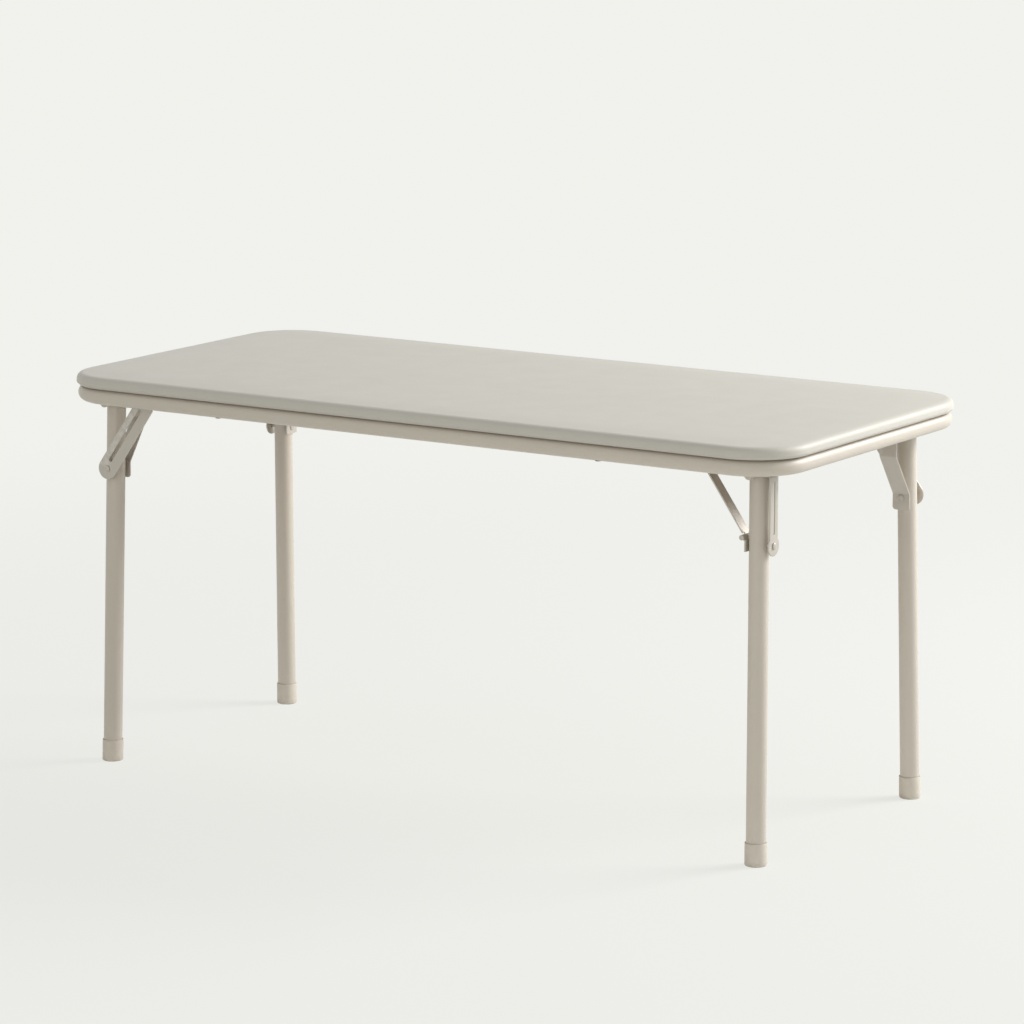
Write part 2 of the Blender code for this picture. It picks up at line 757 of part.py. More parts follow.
def make_stiffener(leg, frame, finishes):
    """The slotted plate on the leg's outer side, from the rivet up to a flange welded to the tube."""
    name = f"leg_stiffener_{leg}"
    _, middle = leg_axis(-RIVET_DROP)
    half = STIFFENER_HALF_WIDTH
    top = -STIFFENER_TOP_DROP
    bite = math.asin(half / STIFFENER_DISC_RADIUS)
    disc = arc((middle, -RIVET_DROP), STIFFENER_DISC_RADIUS, math.pi / 2 + bite, math.pi * 5 / 2 - bite, 16)
    outline = disc + [(middle + half, top), (middle - half, top)]
    sheet = prism(name, outline, "x", STIFFENER_OFFSET, STIFFENER_OFFSET + SHEET)
    plate = place(name, sheet, finishes["brace"], frame)
    tube_face = leg_axis(top - SHEET)[0] + LEG_TUBE_RADIUS + SEAT_GAP
    weld = STIFFENER_OFFSET + SHEET / 2
    near, far = middle - half + SHEET / 2, middle + half - SHEET / 2
    corners = [(tube_face, near), (weld, near), (weld, far), (tube_face, far)]
    flange_top = top - SHEET / 2
    flange = prism(f"stiffener_flange_{leg}", corners, "z", flange_top - SHEET, flange_top)
    combine(plate, "UNION", [flange])
    reach = (STIFFENER_OFFSET - OVERRUN, STIFFENER_OFFSET + SHEET + OVERRUN)
    low = STIFFENER_SLOT_START - RIVET_DROP
    slot_path = [(middle, low), (middle, top - STIFFENER_SLOT_FROM_TOP)]
    slot = prism(f"stiffener_slot_{leg}", widened(slot_path, STIFFENER_SLOT_HALF_WIDTH, 6), "x", *reach)
    radius = RIVET_RADIUS + HOLE_CLEARANCE
    hole = turned(f"stiffener_hole_{leg}", "x", (middle, -RIVET_DROP), [(along, radius) for along in reach])
    combine(plate, "DIFFERENCE", [slot, hole])


# Braces

def make_plate_brace(leg, frame, finishes):
    """A flat slotted plate that turns on the rivet and slides along the bracket's slot at its tip."""
    length = brace_length("plate")
    half = PLATE_HALF_WIDTH
    tip = PLATE_TIP_RADIUS
    outline = arc((0, 0), half, math.pi, math.tau, 10)
    outline += [(half, length - PLATE_TIP_TAPER)]
    outline += arc((PLATE_PIN_SHIFT, length), tip, 0, math.pi, 6)
    outline += [(-half, length - PLATE_TIP_TAPER)]
    turn = Matrix.Translation((0, 0, -RIVET_DROP)) @ Matrix.Rotation(-BRACE_LEAN, 4, "Y")
    name = f"folding_brace_{leg}"
    faces = (PLATE_BRACE_OFFSET, PLATE_BRACE_OFFSET + SHEET)
    mesh = prism(name, outline, "y", *faces)
    mesh.transform(turn)
    hinge = (0, PLATE_BRACE_OFFSET, -RIVET_DROP)
    brace = place(name, mesh, finishes["brace"], frame, hinge)
    reach = (faces[0] - OVERRUN, faces[1] + OVERRUN)
    slot_path = [(PLATE_SLOT_SHIFT, PLATE_SLOT_START), (PLATE_SLOT_SHIFT, length - PLATE_SLOT_FROM_TIP)]
    radius = RIVET_RADIUS + HOLE_CLEARANCE
    pin_radius = PIN_RADIUS + HOLE_CLEARANCE
    pin_centre = (PLATE_PIN_SHIFT, length)
    cuts = [
        prism(f"brace_slot_{leg}", widened(slot_path, PLATE_SLOT_HALF_WIDTH, 6), "y", *reach),
        turned(f"brace_rivet_hole_{leg}", "y", (0, 0), [(along, radius) for along in reach]),
        turned(f"brace_pin_hole_{leg}", "y", pin_centre, [(along, pin_radius) for along in reach]),
    ]
    for cut in cuts:
        cut.transform(turn)
    combine(brace, "DIFFERENCE", cuts)


def strap_edges():
    """Where the strap's edges and its tongue's edges are, along the hinge."""
    strap = (STRAP_CENTRE - STRAP_WIDTH / 2, STRAP_CENTRE + STRAP_WIDTH / 2)
    tongue = (STRAP_CENTRE - TONGUE_WIDTH / 2, STRAP_CENTRE + TONGUE_WIDTH / 2)
    return strap, tongue


def clip_edges():
    return CLIP_CENTRE - CLIP_WIDTH / 2, CLIP_CENTRE + CLIP_WIDTH / 2


def make_strap_brace(leg, frame, finishes):
    """A strap that turns on the clip's knuckle, with an eye for its sliding pin."""
    length = brace_length("strap")
    inwards, up = brace_hinge("strap")
    (low, high), (tongue_low, tongue_high) = strap_edges()
    outline = barrel_end((0, length), (0, 1), EYE_RADIUS) + barrel_end((0, 0), (0, -1), KNUCKLE_RADIUS)
    around = KNUCKLE_RADIUS + OVERRUN
    notch = [(-around, -around), (around, -around), (around, TONGUE_LENGTH), (-around, TONGUE_LENGTH)]
    reach = (low - OVERRUN, high + OVERRUN)
    pin_radius = PIN_RADIUS + HOLE_CLEARANCE
    hinge_radius = KNUCKLE_PIN_RADIUS + HOLE_CLEARANCE
    name = f"folding_brace_{leg}"
    mesh = prism(name, outline, "y", low, high)
    cuts = [
        prism(f"strap_notch_low_{leg}", notch, "y", reach[0], tongue_low),
        prism(f"strap_notch_high_{leg}", notch, "y", tongue_high, reach[1]),
        turned(f"strap_eye_bore_{leg}", "y", (0, length), [(along, pin_radius) for along in reach]),
        turned(f"strap_hinge_bore_{leg}", "y", (0, 0), [(along, hinge_radius) for along in reach]),
    ]
    turn = Matrix.Translation((-inwards, 0, up)) @ Matrix.Rotation(-BRACE_LEAN, 4, "Y")
    for shape in [mesh] + cuts:
        shape.transform(turn)
    brace = place(name, mesh, finishes["brace"], frame, (-inwards, 0, up))
    combine(brace, "DIFFERENCE", cuts)


def make_clip(leg, frame, finishes):
    """The riveted clip that carries the strap's knuckle between its own two."""
    inwards, up = brace_hinge("strap")
    low, high = clip_edges()
    _, (tongue_low, tongue_high) = strap_edges()
    tab = clip_tab_face()
    bend = CLIP_BEND_RISE - RIVET_DROP
    path = [(tab, -RIVET_DROP - CLIP_TAB_DROP), (tab, bend), (-inwards, up)]
    forward = (Vector(path[2]) - Vector(path[1])).normalized()
    sheet = sheet_along(path, SHEET)
    barrel = barrel_end(path[2], forward, KNUCKLE_RADIUS)
    name = f"brace_clip_{leg}"
    clip = place(name, prism(name, sheet[:2] + barrel + sheet[4:], "y", low, high), finishes["brace"], frame)
    around = circle((-inwards, up), KNUCKLE_RADIUS + OVERRUN / 2, ROUND_SIDES)
    hinge_radius = KNUCKLE_PIN_RADIUS + HOLE_CLEARANCE
    hinge_reach = (low - OVERRUN, high + OVERRUN)
    _, rivet_place = rivet_line("strap")
    rivet_radius = RIVET_RADIUS + HOLE_CLEARANCE
    rivet_reach = (tab - OVERRUN, tab + OVERRUN)
    cuts = [
        prism(f"clip_gap_{leg}", around, "y", tongue_low - SEAT_GAP, tongue_high + SEAT_GAP),
        turned(f"clip_bore_{leg}", "y", (-inwards, up), [(along, hinge_radius) for along in hinge_reach]),
        turned(f"clip_hole_{leg}", "x", rivet_place, [(along, rivet_radius) for along in rivet_reach]),
    ]
    combine(clip, "DIFFERENCE", cuts)


def make_hinge_pin(leg, frame, finishes):
    inwards, up = brace_hinge("strap")
    low, high = clip_edges()
    ends = (low - SEAT_GAP, high + SEAT_GAP)
    name = f"brace_hinge_pin_{leg}"
    heads = (FLAT_HEAD_THICKNESS, FLAT_HEAD_THICKNESS)
    mesh = headed_pin(name, "y", (-inwards, up), ends, KNUCKLE_PIN_RADIUS, KNUCKLE_RADIUS, heads)
    place(name, mesh, finishes["brace"], frame)


def make_slide_pin(leg, frame, finishes):
    """The pin at the brace's tip, which runs along the bracket's slot."""
    kind = kind_of(leg)
    inwards, up = slide_pin_at(kind, 0)
    if kind == "plate":
        low = PLATE_BRACE_OFFSET - SEAT_GAP
    else:
        low = STRAP_CENTRE - STRAP_WIDTH / 2 - SEAT_GAP
    name = f"slide_pin_{leg}"
    ends = (low, WALL_FACE + SEAT_GAP)
    heads = (FLAT_HEAD_THICKNESS, HEAD_THICKNESS)
    mesh = headed_pin(name, "y", (-inwards, up), ends, PIN_RADIUS, PIN_HEAD_RADIUS, heads)
    hinge_in, hinge_up = brace_hinge(kind)
    place(name, mesh, finishes["brace"], frame, (-hinge_in, 0, hinge_up))


def make_leg(leg, finishes):
    side_x, side_y = LEGS[leg]
    place_of_pivot = (LEGS_MIDDLE + side_x * PIVOT_X, side_y * PIVOT_Y, PIVOT_Z)
    frame = empty(f"pivot_{leg}", place_of_pivot, (side_x, side_y, 1))
    for make in (make_bracket, make_leg_tube, make_foot_cap, make_pivot_rod, make_rivet, make_slide_pin):
        make(leg, frame, finishes)
    if kind_of(leg) == "plate":
        make_plate_brace(leg, frame, finishes)
        make_stay(leg, frame, finishes)
        return
    make_strap_brace(leg, frame, finishes)
    make_clip(leg, frame, finishes)
    make_hinge_pin(leg, frame, finishes)
    make_stiffener(leg, frame, finishes)


def main():
    clear_scene()
    finishes = make_materials()
    make_cover(finishes)
    make_foam(finishes)
    make_board(finishes)
    make_rail(finishes)
    make_screws(finishes)
    for leg in LEGS:
        make_leg(leg, finishes)


main()
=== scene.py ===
"""Looks of the folding activity table: padded vinyl top, painted tube frame, folding legs and braces.

Each piece is built in the table's own frame, in metres. A leg's pieces are built in the leg's local
frame, with +X and +Y pointing outwards from its pivot, and are then mirrored to their corner.
"""

import math

import bmesh
import bpy
from mathutils import Matrix, Vector, geometry, noise


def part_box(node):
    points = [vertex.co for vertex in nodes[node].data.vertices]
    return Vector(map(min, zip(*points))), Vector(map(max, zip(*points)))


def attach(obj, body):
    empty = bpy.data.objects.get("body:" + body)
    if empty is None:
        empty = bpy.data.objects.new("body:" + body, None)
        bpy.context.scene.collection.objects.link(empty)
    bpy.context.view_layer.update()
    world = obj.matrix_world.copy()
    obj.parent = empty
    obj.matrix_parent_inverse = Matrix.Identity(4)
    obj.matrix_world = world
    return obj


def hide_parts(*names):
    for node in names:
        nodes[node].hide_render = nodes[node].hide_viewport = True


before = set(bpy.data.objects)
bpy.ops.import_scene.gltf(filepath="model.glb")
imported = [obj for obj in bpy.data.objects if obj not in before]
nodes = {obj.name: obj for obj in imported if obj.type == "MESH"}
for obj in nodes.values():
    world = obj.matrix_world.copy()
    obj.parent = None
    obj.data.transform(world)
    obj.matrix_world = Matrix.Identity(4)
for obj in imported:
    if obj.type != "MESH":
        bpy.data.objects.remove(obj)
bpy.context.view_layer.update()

QUARTER_TURN = math.pi / 2

# Sizes of the top and its rail, as in their solids
HALF_LENGTH = 0.570
HALF_WIDTH = 0.263
TABLE_HEIGHT = 0.550
CORNER_RADIUS = 0.077
SEAT_GAP = 0.0003
PAD_THICKNESS = 0.018
COVER_THICKNESS = 0.0012
SEAM_INSET = 0.003
ROLL_RADIUS = 0.0125
ROLL_FULLNESS = 0.74
CROWN_RISE = 0.0015
CROWN_REACH = 0.060
MIDDLE_REACH_SHARE = 0.985
BOARD_THICKNESS = 0.009
RAIL_TUBE_RADIUS = 0.011
RAIL_INSET = 0.002

# Sizes of the legs, as in their solids
PIVOT_END_INSET = 0.060
PIVOT_SIDE_INSET = 0.068
LEGS_MIDDLE = -0.0045
PIVOT_DROP = 0.0245
SPLAY_X = 0.007
SPLAY_Y = 0.013
LEG_TUBE_RADIUS = 0.013
TUBE_WALL = 0.0012
LEG_ABOVE_PIVOT = 0.010
CAP_HEIGHT = 0.030
CAP_WALL = 0.0012
CAP_FLOOR = 0.004
CAP_FOOT_ROUNDING = 0.0018
CAP_MIDDLE_SHARE = 0.55

# Sizes of the sheet pieces, as in their solids
SHEET = 0.002
EDGE_ROUNDING = 0.00045
NODE_EDGE_ROUNDING = 0.0004
NODE_PIN_ROUNDING = 0.0002
RIVET_DROP = 0.093
BRACE_LEAN = math.radians(35.3)
PIN_DROP = 0.0095
PLATE_BRACE_OFFSET = 0.022
PLATE_HALF_WIDTH = 0.01475
PLATE_PIN_SHIFT = 0.0075
PLATE_TIP_RADIUS = 0.0055
PLATE_TIP_TAPER = 0.011
PLATE_SLOT_HALF_WIDTH = 0.003
PLATE_SLOT_SHIFT = 0.00275
PLATE_SLOT_START = 0.0145
PLATE_SLOT_FROM_TIP = 0.0245
STRAP_WIDTH = 0.0170
STRAP_CENTRE = -0.0015
KNUCKLE_OFFSET = 0.0174
KNUCKLE_RISE = 0.0085
TAB_GAP = 0.0004
STAY_WIDTH = 0.0253
STAY_TAB_DROP = 0.0165
STAY_TAB_RISE = 0.0055
STAY_OFFSET = 0.0389
STAY_SLOPE_RISE = 0.056
STAY_TOP_RISE = 0.007
STAY_BEND_RADIUS = 0.006
STAY_LOW_CORNER = 0.0045
STAY_HIGH_CORNER = 0.004
STIFFENER_OFFSET = 0.0207
STIFFENER_DISC_RADIUS = 0.0133
STIFFENER_HALF_WIDTH = 0.0098
STIFFENER_TOP_DROP = 0.002
STIFFENER_SLOT_HALF_WIDTH = 0.0017
STIFFENER_SLOT_START = 0.016
STIFFENER_SLOT_FROM_TOP = 0.010
STIFFENER_BEND_RADIUS = 0.0022
OUTER_WALL_OFFSET = 0.0268
INNER_EAR_FACE = -0.0145

# Sizes of the rods, rivets, pins and screws
ROD_RADIUS = 0.004
ROD_HEAD_RADIUS = 0.0058
RIVET_RADIUS = 0.003
RIVET_HEAD_RADIUS = 0.0045
PIN_RADIUS = 0.003
PIN_HEAD_RADIUS = 0.005
HEAD_THICKNESS = 0.002
FLAT_HEAD_THICKNESS = 0.0013
SCREW_HEAD_THICKNESS = 0.0017
RAIL_SCREW_HEAD_THICKNESS = 0.0006
SCREW_TIP_LENGTH = 0.0015
RECESS_HALF_WIDTH = 0.00042
RECESS_OVERRUN = 0.001

# Shapes of heads, shanks and recesses, as shares of the sizes that they follow
DOME_RADIUS_SHARES = (0.16, 0.42, 0.65, 0.82, 0.93, 1.0)
DOME_RIM_SHARE = 0.30
DOME_FOOT_SHARE = 0.12
DOME_SEAT_SHARE = 0.97
PAN_RADIUS_SHARES = (0.30, 0.55, 0.78, 0.92, 1.0)
PAN_RIM_SHARE = 0.25
SHANK_TOP_SHARE = 0.12
SHANK_LOW_SHARE = 0.52
SHANK_HIGH_SHARE = 0.50
RECESS_REACH_SHARE = 0.52
RECESS_DEPTH_SHARE = 0.65
RECESS_CORNER_SHARE = 1.25
RECESS_TAPER_SHARE = 0.55

# The cover's small unevenness: lift and depth in metres, ripples by how many there are to a metre
RIPPLE_LIFT = 0.00016
WAVE_CREST = 0.9
BROAD_RIPPLE = 5.0
FINE_RIPPLE = 17.0
FINE_RIPPLE_SHARE = 0.45
PUCKER_DEPTH = 0.00030
PUCKER_RIPPLE = 38.0

# Numbers of steps in round stretches
TOP_CORNER_STEPS = 22
LONG_RUN_STEPS = 26
SHORT_RUN_STEPS = 10
PAD_SIDE_STEPS = 8
PAD_ROLL_STEPS = 14
PAD_CROWN_STEPS = 8
PAD_MIDDLE_STEPS = 18
RAIL_SIDES = 40
TUBE_SIDES = 56
PIN_SIDES = 40
SCREW_SIDES = 28
HOLE_SIDES = 24
LIP_STEPS = 6
SLOT_END_STEPS = 14
SHEET_CORNER_STEPS = 8
BEND_STEPS = 8
DISC_STEPS = 44
BRACE_FOOT_STEPS = 36
BRACE_TIP_STEPS = 20

# Sizes and colours of the studio
CAMERA_PLACE = (3.33036, -5.12596, 1.53438)
CAMERA_PITCH = math.radians(10.7653)
CAMERA_AZIMUTH = math.radians(32.9539)
CAMERA_LENS_MM = 161.201
CAMERA_SENSOR_MM = 36
BACKDROP_COLOUR = (0.880, 0.886, 0.845, 1)
WORLD_LIGHT_COLOUR = (0.985, 0.99, 1.0, 1)
WORLD_LIGHT_STRENGTH = 0.45
FLOOR_COLOUR = (0.83, 0.83, 0.805)
FLOOR_REACH = 60
FLOOR_FADE_START = 0.9
FLOOR_FADE_END = 3.0
FLOOR_FADE_LEAST = 0.80

# Places that follow from the sizes
TOP_UNDERSIDE = TABLE_HEIGHT - PAD_THICKNESS
PIVOT_X = HALF_LENGTH - PIVOT_END_INSET
PIVOT_Y = HALF_WIDTH - PIVOT_SIDE_INSET
PIVOT_Z = TOP_UNDERSIDE - PIVOT_DROP
SLIDE_PIN_RISE = PIVOT_DROP - PIN_DROP
WALL_FACE = OUTER_WALL_OFFSET + SHEET

# Each leg's side of the middle, along X and along Y
LEGS = {
    "front_left": (-1, -1),
    "front_right": (1, -1),
    "rear_left": (-1, 1),
    "rear_right": (1, 1),
}


# Materials

def set_inputs(node, values):
    for name, value in values.items():
        node.inputs[name].default_value = value


class Shader:
    """A Principled material that is put together from a few named layers."""

    def __init__(self, name, colour, roughness, metallic=0.0, specular=0.5):
        self.material = bpy.data.materials.new(name)
        self.material.use_nodes = True
        self.tree = self.material.node_tree
        self.base = self.tree.nodes["Principled BSDF"]
        set_inputs(self.base, {
            "Base Color": (*colour, 1),
            "Roughness": roughness,
            "Metallic": metallic,
            "Specular IOR Level": specular,
        })
        self.colour = colour
        self.roughness = roughness
        self.place = self.add("ShaderNodeTexCoord").outputs["Object"]
        self.normal = None
        self.tint = None

    def add(self, kind, **settings):
        node = self.tree.nodes.new(kind)
        for key, value in settings.items():
            setattr(node, key, value)
        return node

    def join(self, source, target):
        self.tree.links.new(source, target)

    def noise(self, scale, detail, roughness=0.5, stretch=None):
        texture = self.add("ShaderNodeTexNoise")
        set_inputs(texture, {"Scale": scale, "Detail": detail, "Roughness": roughness})
        source = self.place
        if stretch:
            mapping = self.add("ShaderNodeMapping")
            set_inputs(mapping, {"Scale": stretch})
            self.join(self.place, mapping.inputs["Vector"])
            source = mapping.outputs["Vector"]
        self.join(source, texture.inputs["Vector"])
        return texture.outputs["Fac"]

    def cells(self, scale, feature):
        texture = self.add("ShaderNodeTexVoronoi", feature=feature)
        set_inputs(texture, {"Scale": scale})
        self.join(self.place, texture.inputs["Vector"])
        return texture.outputs["Distance"]

    def spread(self, value, low, high, start=0.3, end=0.7):
        """The value's range from start to end, spread from low to high."""
        node = self.add("ShaderNodeMapRange")
        set_inputs(node, {"From Min": start, "From Max": end, "To Min": low, "To Max": high})
        self.join(value, node.inputs["Value"])
        return node.outputs["Result"]

    def product(self, first, second):
        node = self.add("ShaderNodeMath", operation="MULTIPLY")
        self.join(first, node.inputs[0])
        self.join(second, node.inputs[1])
        return node.outputs["Value"]

    def mix(self, share, other):
        """Lays another colour over the base colour."""
        node = self.add("ShaderNodeMix", data_type="RGBA")
        self.join(share, node.inputs["Factor"])
        if self.tint is None:
            set_inputs(node, {"A": (*self.colour, 1)})
        else:
            self.join(self.tint, node.inputs["A"])
        set_inputs(node, {"B": (*other, 1)})
        self.tint = node.outputs["Result"]
        self.join(self.tint, self.base.inputs["Base Color"])

    def patches(self, texture, most, other, start=0.3, end=0.7):
        """Lays another colour over the base colour where a texture is high."""
        self.mix(self.spread(texture, 0.0, most, start, end), other)

    def vary(self, texture, amount):
        """Varies the roughness round its own value."""
        rough = self.spread(texture, self.roughness - amount, self.roughness + amount)
        self.join(rough, self.base.inputs["Roughness"])

    def bump(self, texture, distance, strength):
        node = self.add("ShaderNodeBump")
        set_inputs(node, {"Strength": strength, "Distance": distance})
        self.join(texture, node.inputs["Height"])
        if self.normal is not None:
            self.join(self.normal, node.inputs["Normal"])
        self.normal = node.outputs["Normal"]
        self.join(self.normal, self.base.inputs["Normal"])

    def edges(self, other, reach=0.10, most=0.5):
        """Wear on the outer edges, broken up by a noise."""
        flat_pointiness = 0.5
        pointiness = self.add("ShaderNodeNewGeometry").outputs["Pointiness"]
        worn = self.spread(pointiness, 0.0, most, flat_pointiness + reach / 4, flat_pointiness + reach)
        broken = self.spread(self.noise(scale=160, detail=4), 0.0, 1.0, start=0.35, end=0.6)
        self.mix(self.product(worn, broken), other)


def shade(colour, factor):
    return tuple(channel * factor for channel in colour)


def make_vinyl():
    """Smooth vinyl with a fine grain and a faint mottle."""
    vinyl = (0.612, 0.589, 0.527)
    skin = Shader("vinyl_cover_look", vinyl, roughness=0.48, specular=0.36)
    skin.patches(skin.noise(scale=5.0, detail=3), 0.35, shade(vinyl, 0.965))
    skin.patches(skin.noise(scale=60.0, detail=3), 0.35, shade(vinyl, 1.03))
    skin.patches(skin.noise(scale=260.0, detail=3), 0.5, shade(vinyl, 0.93), start=0.62, end=0.75)
    skin.vary(skin.noise(scale=22.0, detail=4), 0.05)
    skin.bump(skin.cells(620.0, "SMOOTH_F1"), distance=0.00035, strength=0.30)
    skin.bump(skin.noise(scale=1500.0, detail=2), distance=0.00012, strength=0.35)
    set_inputs(skin.base, {"Coat Weight": 0.08, "Coat Roughness": 0.38})
    return skin.material


def make_paint():
    """Satin paint on the tubes, paler on worn edges."""
    paint = (0.648, 0.596, 0.512)
    coat = Shader("painted_steel_look", paint, roughness=0.42)
    coat.patches(coat.noise(scale=9.0, detail=3), 0.5, shade(paint, 0.95))
    coat.patches(coat.noise(scale=240.0, detail=3), 0.5, shade(paint, 0.92), start=0.60, end=0.75)
    coat.edges(shade(paint, 1.10))
    coat.vary(coat.noise(scale=35.0, detail=4), 0.06)
    coat.bump(coat.noise(scale=700.0, detail=2), distance=0.0002, strength=0.22)
    return coat.material


def make_brace_metal():
    """A thin coat on sheet steel, with fine upright streaks."""
    metal = (0.575, 0.535, 0.470)
    brace = Shader("brace_steel_look", metal, roughness=0.40, metallic=0.25)
    brace.patches(brace.noise(scale=14.0, detail=3), 0.6, shade(metal, 0.92))
    brace.patches(brace.noise(scale=420.0, detail=3), 0.25, shade(metal, 0.88), start=0.62, end=0.75)
    brace.edges((0.70, 0.67, 0.62), reach=0.08, most=0.7)
    brace.vary(brace.noise(scale=40.0, detail=4), 0.07)
    streaks = brace.noise(scale=500.0, detail=3, roughness=0.6, stretch=(1.0, 1.0, 0.08))
    brace.bump(streaks, distance=0.0002, strength=0.20)
    return brace.material


def make_foot_plastic():
    """Matt plastic, scuffed near the floor."""
    plastic = (0.690, 0.637, 0.548)
    foot = Shader("foot_plastic_look", plastic, roughness=0.52, specular=0.4)
    foot.patches(foot.noise(scale=40.0, detail=3), 0.5, shade(plastic, 0.95))
    height = foot.add("ShaderNodeSeparateXYZ")
    foot.join(foot.place, height.inputs["Vector"])
    near_floor = foot.spread(height.outputs["Z"], low=0.55, high=0.0, start=0.0, end=0.008)
    broken = foot.spread(foot.noise(scale=320.0, detail=4), 0.0, 1.0, start=0.4, end=0.65)
    foot.mix(foot.product(near_floor, broken), shade(plastic, 0.62))
    foot.vary(foot.noise(scale=60.0, detail=3), 0.06)
    foot.bump(foot.noise(scale=1300.0, detail=2), distance=0.0002, strength=0.35)
    return foot.material


def make_zinc():
    """Bare zinc plate with a fine, uneven gloss."""
    zinc = (0.60, 0.59, 0.57)
    plated = Shader("fastener_steel_look", zinc, roughness=0.30, metallic=1.0)
    plated.patches(plated.noise(scale=500.0, detail=3), 0.6, (0.46, 0.45, 0.43))
    plated.vary(plated.noise(scale=900.0, detail=3), 0.10)
    plated.bump(plated.noise(scale=2400.0, detail=2), distance=0.0001, strength=0.25)
    return plated.material


def make_fibreboard():
    """Raw board with streaks and flecks."""
    fibre = (0.300, 0.205, 0.125)
    board = Shader("board_look", fibre, roughness=0.78, specular=0.3)
    streaks = board.noise(scale=90.0, detail=5, roughness=0.65, stretch=(1.0, 3.0, 1.0))
    board.patches(streaks, 0.8, (0.195, 0.125, 0.075), start=0.4, end=0.65)
    board.patches(board.noise(scale=520.0, detail=4), 0.8, (0.42, 0.31, 0.20), start=0.55, end=0.75)
    board.vary(board.noise(scale=120.0, detail=3), 0.08)
    board.bump(board.noise(scale=420.0, detail=5, roughness=0.7), distance=0.0005, strength=0.45)
    return board.material


finishes = {
    "vinyl_cover": make_vinyl(),
    "painted_steel": make_paint(),
    "brace_steel": make_brace_metal(),
    "foot_plastic": make_foot_plastic(),
    "fastener_steel": make_zinc(),
    "board": make_fibreboard(),
}


# Mesh building

def across(axis, along, first, second):
    """A point from its place along an axis and its two other coordinates, in X, Y, Z order."""
    point = [first, second]
    point.insert("xyz".index(axis), along)
    return Vector(point)


def skin_between(shape, row, following):
    """Adds the faces between two rings of corners."""
    for i in range(len(row)):
        j = (i + 1) % len(row)
        shape.faces.new((row[i], row[j], following[j], following[i]))


def loft(shape, rings, closed=False):
    """Adds a surface through rings of points, capped at both ends or joined end to end."""
    rows = [[shape.verts.new(point) for point in ring] for ring in rings]
    for row, following in zip(rows, rows[1:]):
        skin_between(shape, row, following)
    if closed:
        skin_between(shape, rows[-1], rows[0])
    else:
        shape.faces.new(rows[0])
        shape.faces.new(rows[-1])
    return rows


def arc(centre, radius, start, end, steps):
    points = []
    for i in range(steps + 1):
        angle = start + (end - start) * i / steps
        points.append((centre[0] + radius * math.cos(angle), centre[1] + radius * math.sin(angle)))
    return points


def circle(centre, radius, sides):
    return arc(centre, radius, 0, math.tau * (sides - 1) / sides, sides - 1)


def hole(centre, radius):
    """A round hole with clearance for a pin of this radius, clockwise."""
    return circle(centre, radius + SEAT_GAP, HOLE_SIDES)[::-1]


def turned(shape, axis, centre, profile, sides):
    """A round piece along an axis, from places and radii in order.

    The centre may be a function of the place.
    """
    rings = []
    for along, radius in profile:
        middle = centre(along) if callable(centre) else centre
        rings.append([across(axis, along, *point) for point in circle(middle, radius, sides)])
    loft(shape, rings)


def dome_rise(share, rim_share):
    """How high a domed head stands at a share of its radius, as a share of its thickness."""
    return rim_share + (1 - rim_share) * math.sqrt(1 - share ** 2)


def domed(face, outwards, radius, thickness):
    """A low domed rivet head from its middle to its rim, as places and radii."""
    profile = []
    for share in DOME_RADIUS_SHARES:
        rise = thickness * dome_rise(share, DOME_RIM_SHARE)
        profile.append((face + outwards * rise, radius * share))
    profile.append((face + outwards * thickness * DOME_FOOT_SHARE, radius))
    profile.append((face, radius * DOME_SEAT_SHARE))
    return profile


def headed_pin(shape, axis, centre, ends, radius, head_radius, heads):
    """A pin with a head outside each of its ends. Each head has its own thickness."""
    low, high = ends
    low_head, high_head = heads
    profile = domed(low, -1, head_radius, low_head) + [(low, radius), (high, radius)]
    profile += domed(high, 1, head_radius, high_head)[::-1]
    turned(shape, axis, centre, profile, PIN_SIDES)


def slot_outline(start, end, half_width):
    """A slot with round ends, clockwise."""
    forward = (Vector(end) - Vector(start)).normalized()
    angle = math.atan2(forward[1], forward[0])
    left, right = angle + QUARTER_TURN, angle - QUARTER_TURN
    far_end = arc(end, half_width, left, right, SLOT_END_STEPS)
    near_end = arc(start, half_width, right, right - math.pi, SLOT_END_STEPS)
    return far_end + near_end


def inwards(outline, distance):
    """An outline moved towards its material, which lies on its left."""
    least_cosine = 0.5
    moved = []
    for i, point in enumerate(outline):
        here = Vector(point)
        arriving = (here - Vector(outline[i - 1])).normalized()
        leaving = (Vector(outline[(i + 1) % len(outline)]) - here).normalized()
        middle = (arriving + leaving).normalized()
        reach = distance / max(middle.dot(leaving), least_cosine)
        moved.append((here[0] - middle[1] * reach, here[1] + middle[0] * reach))
    return moved


def sheet_plate(shape, outline, holes):
    """A flat plate with rounded edges in (across, along, thickness) coordinates.

    The outline runs counterclockwise and the holes clockwise.
    """
    half = SHEET / 2
    profile = [(EDGE_ROUNDING, half)]
    for angle in (30, 60, 90):
        turn = math.radians(angle)
        inset = EDGE_ROUNDING * (1 - math.sin(turn))
        profile.append((inset, half - EDGE_ROUNDING * (1 - math.cos(turn))))
    profile += [(inset, -height) for inset, height in profile[::-1]]
    upper, lower = [], []
    for contour in [outline] + holes:
        rows = []
        for inset, height in profile:
            rows.append([shape.verts.new((*point, height)) for point in inwards(contour, inset)])
        for row, following in zip(rows, rows[1:]):
            skin_between(shape, row, following)
        upper.append(rows[0])
        lower.append(rows[-1])
    for rows in (upper, lower):
        corners = [corner for row in rows for corner in row]
        for triangle in geometry.tessellate_polygon([[corner.co for corner in row] for row in rows]):
            shape.faces.new([corners[i] for i in triangle])


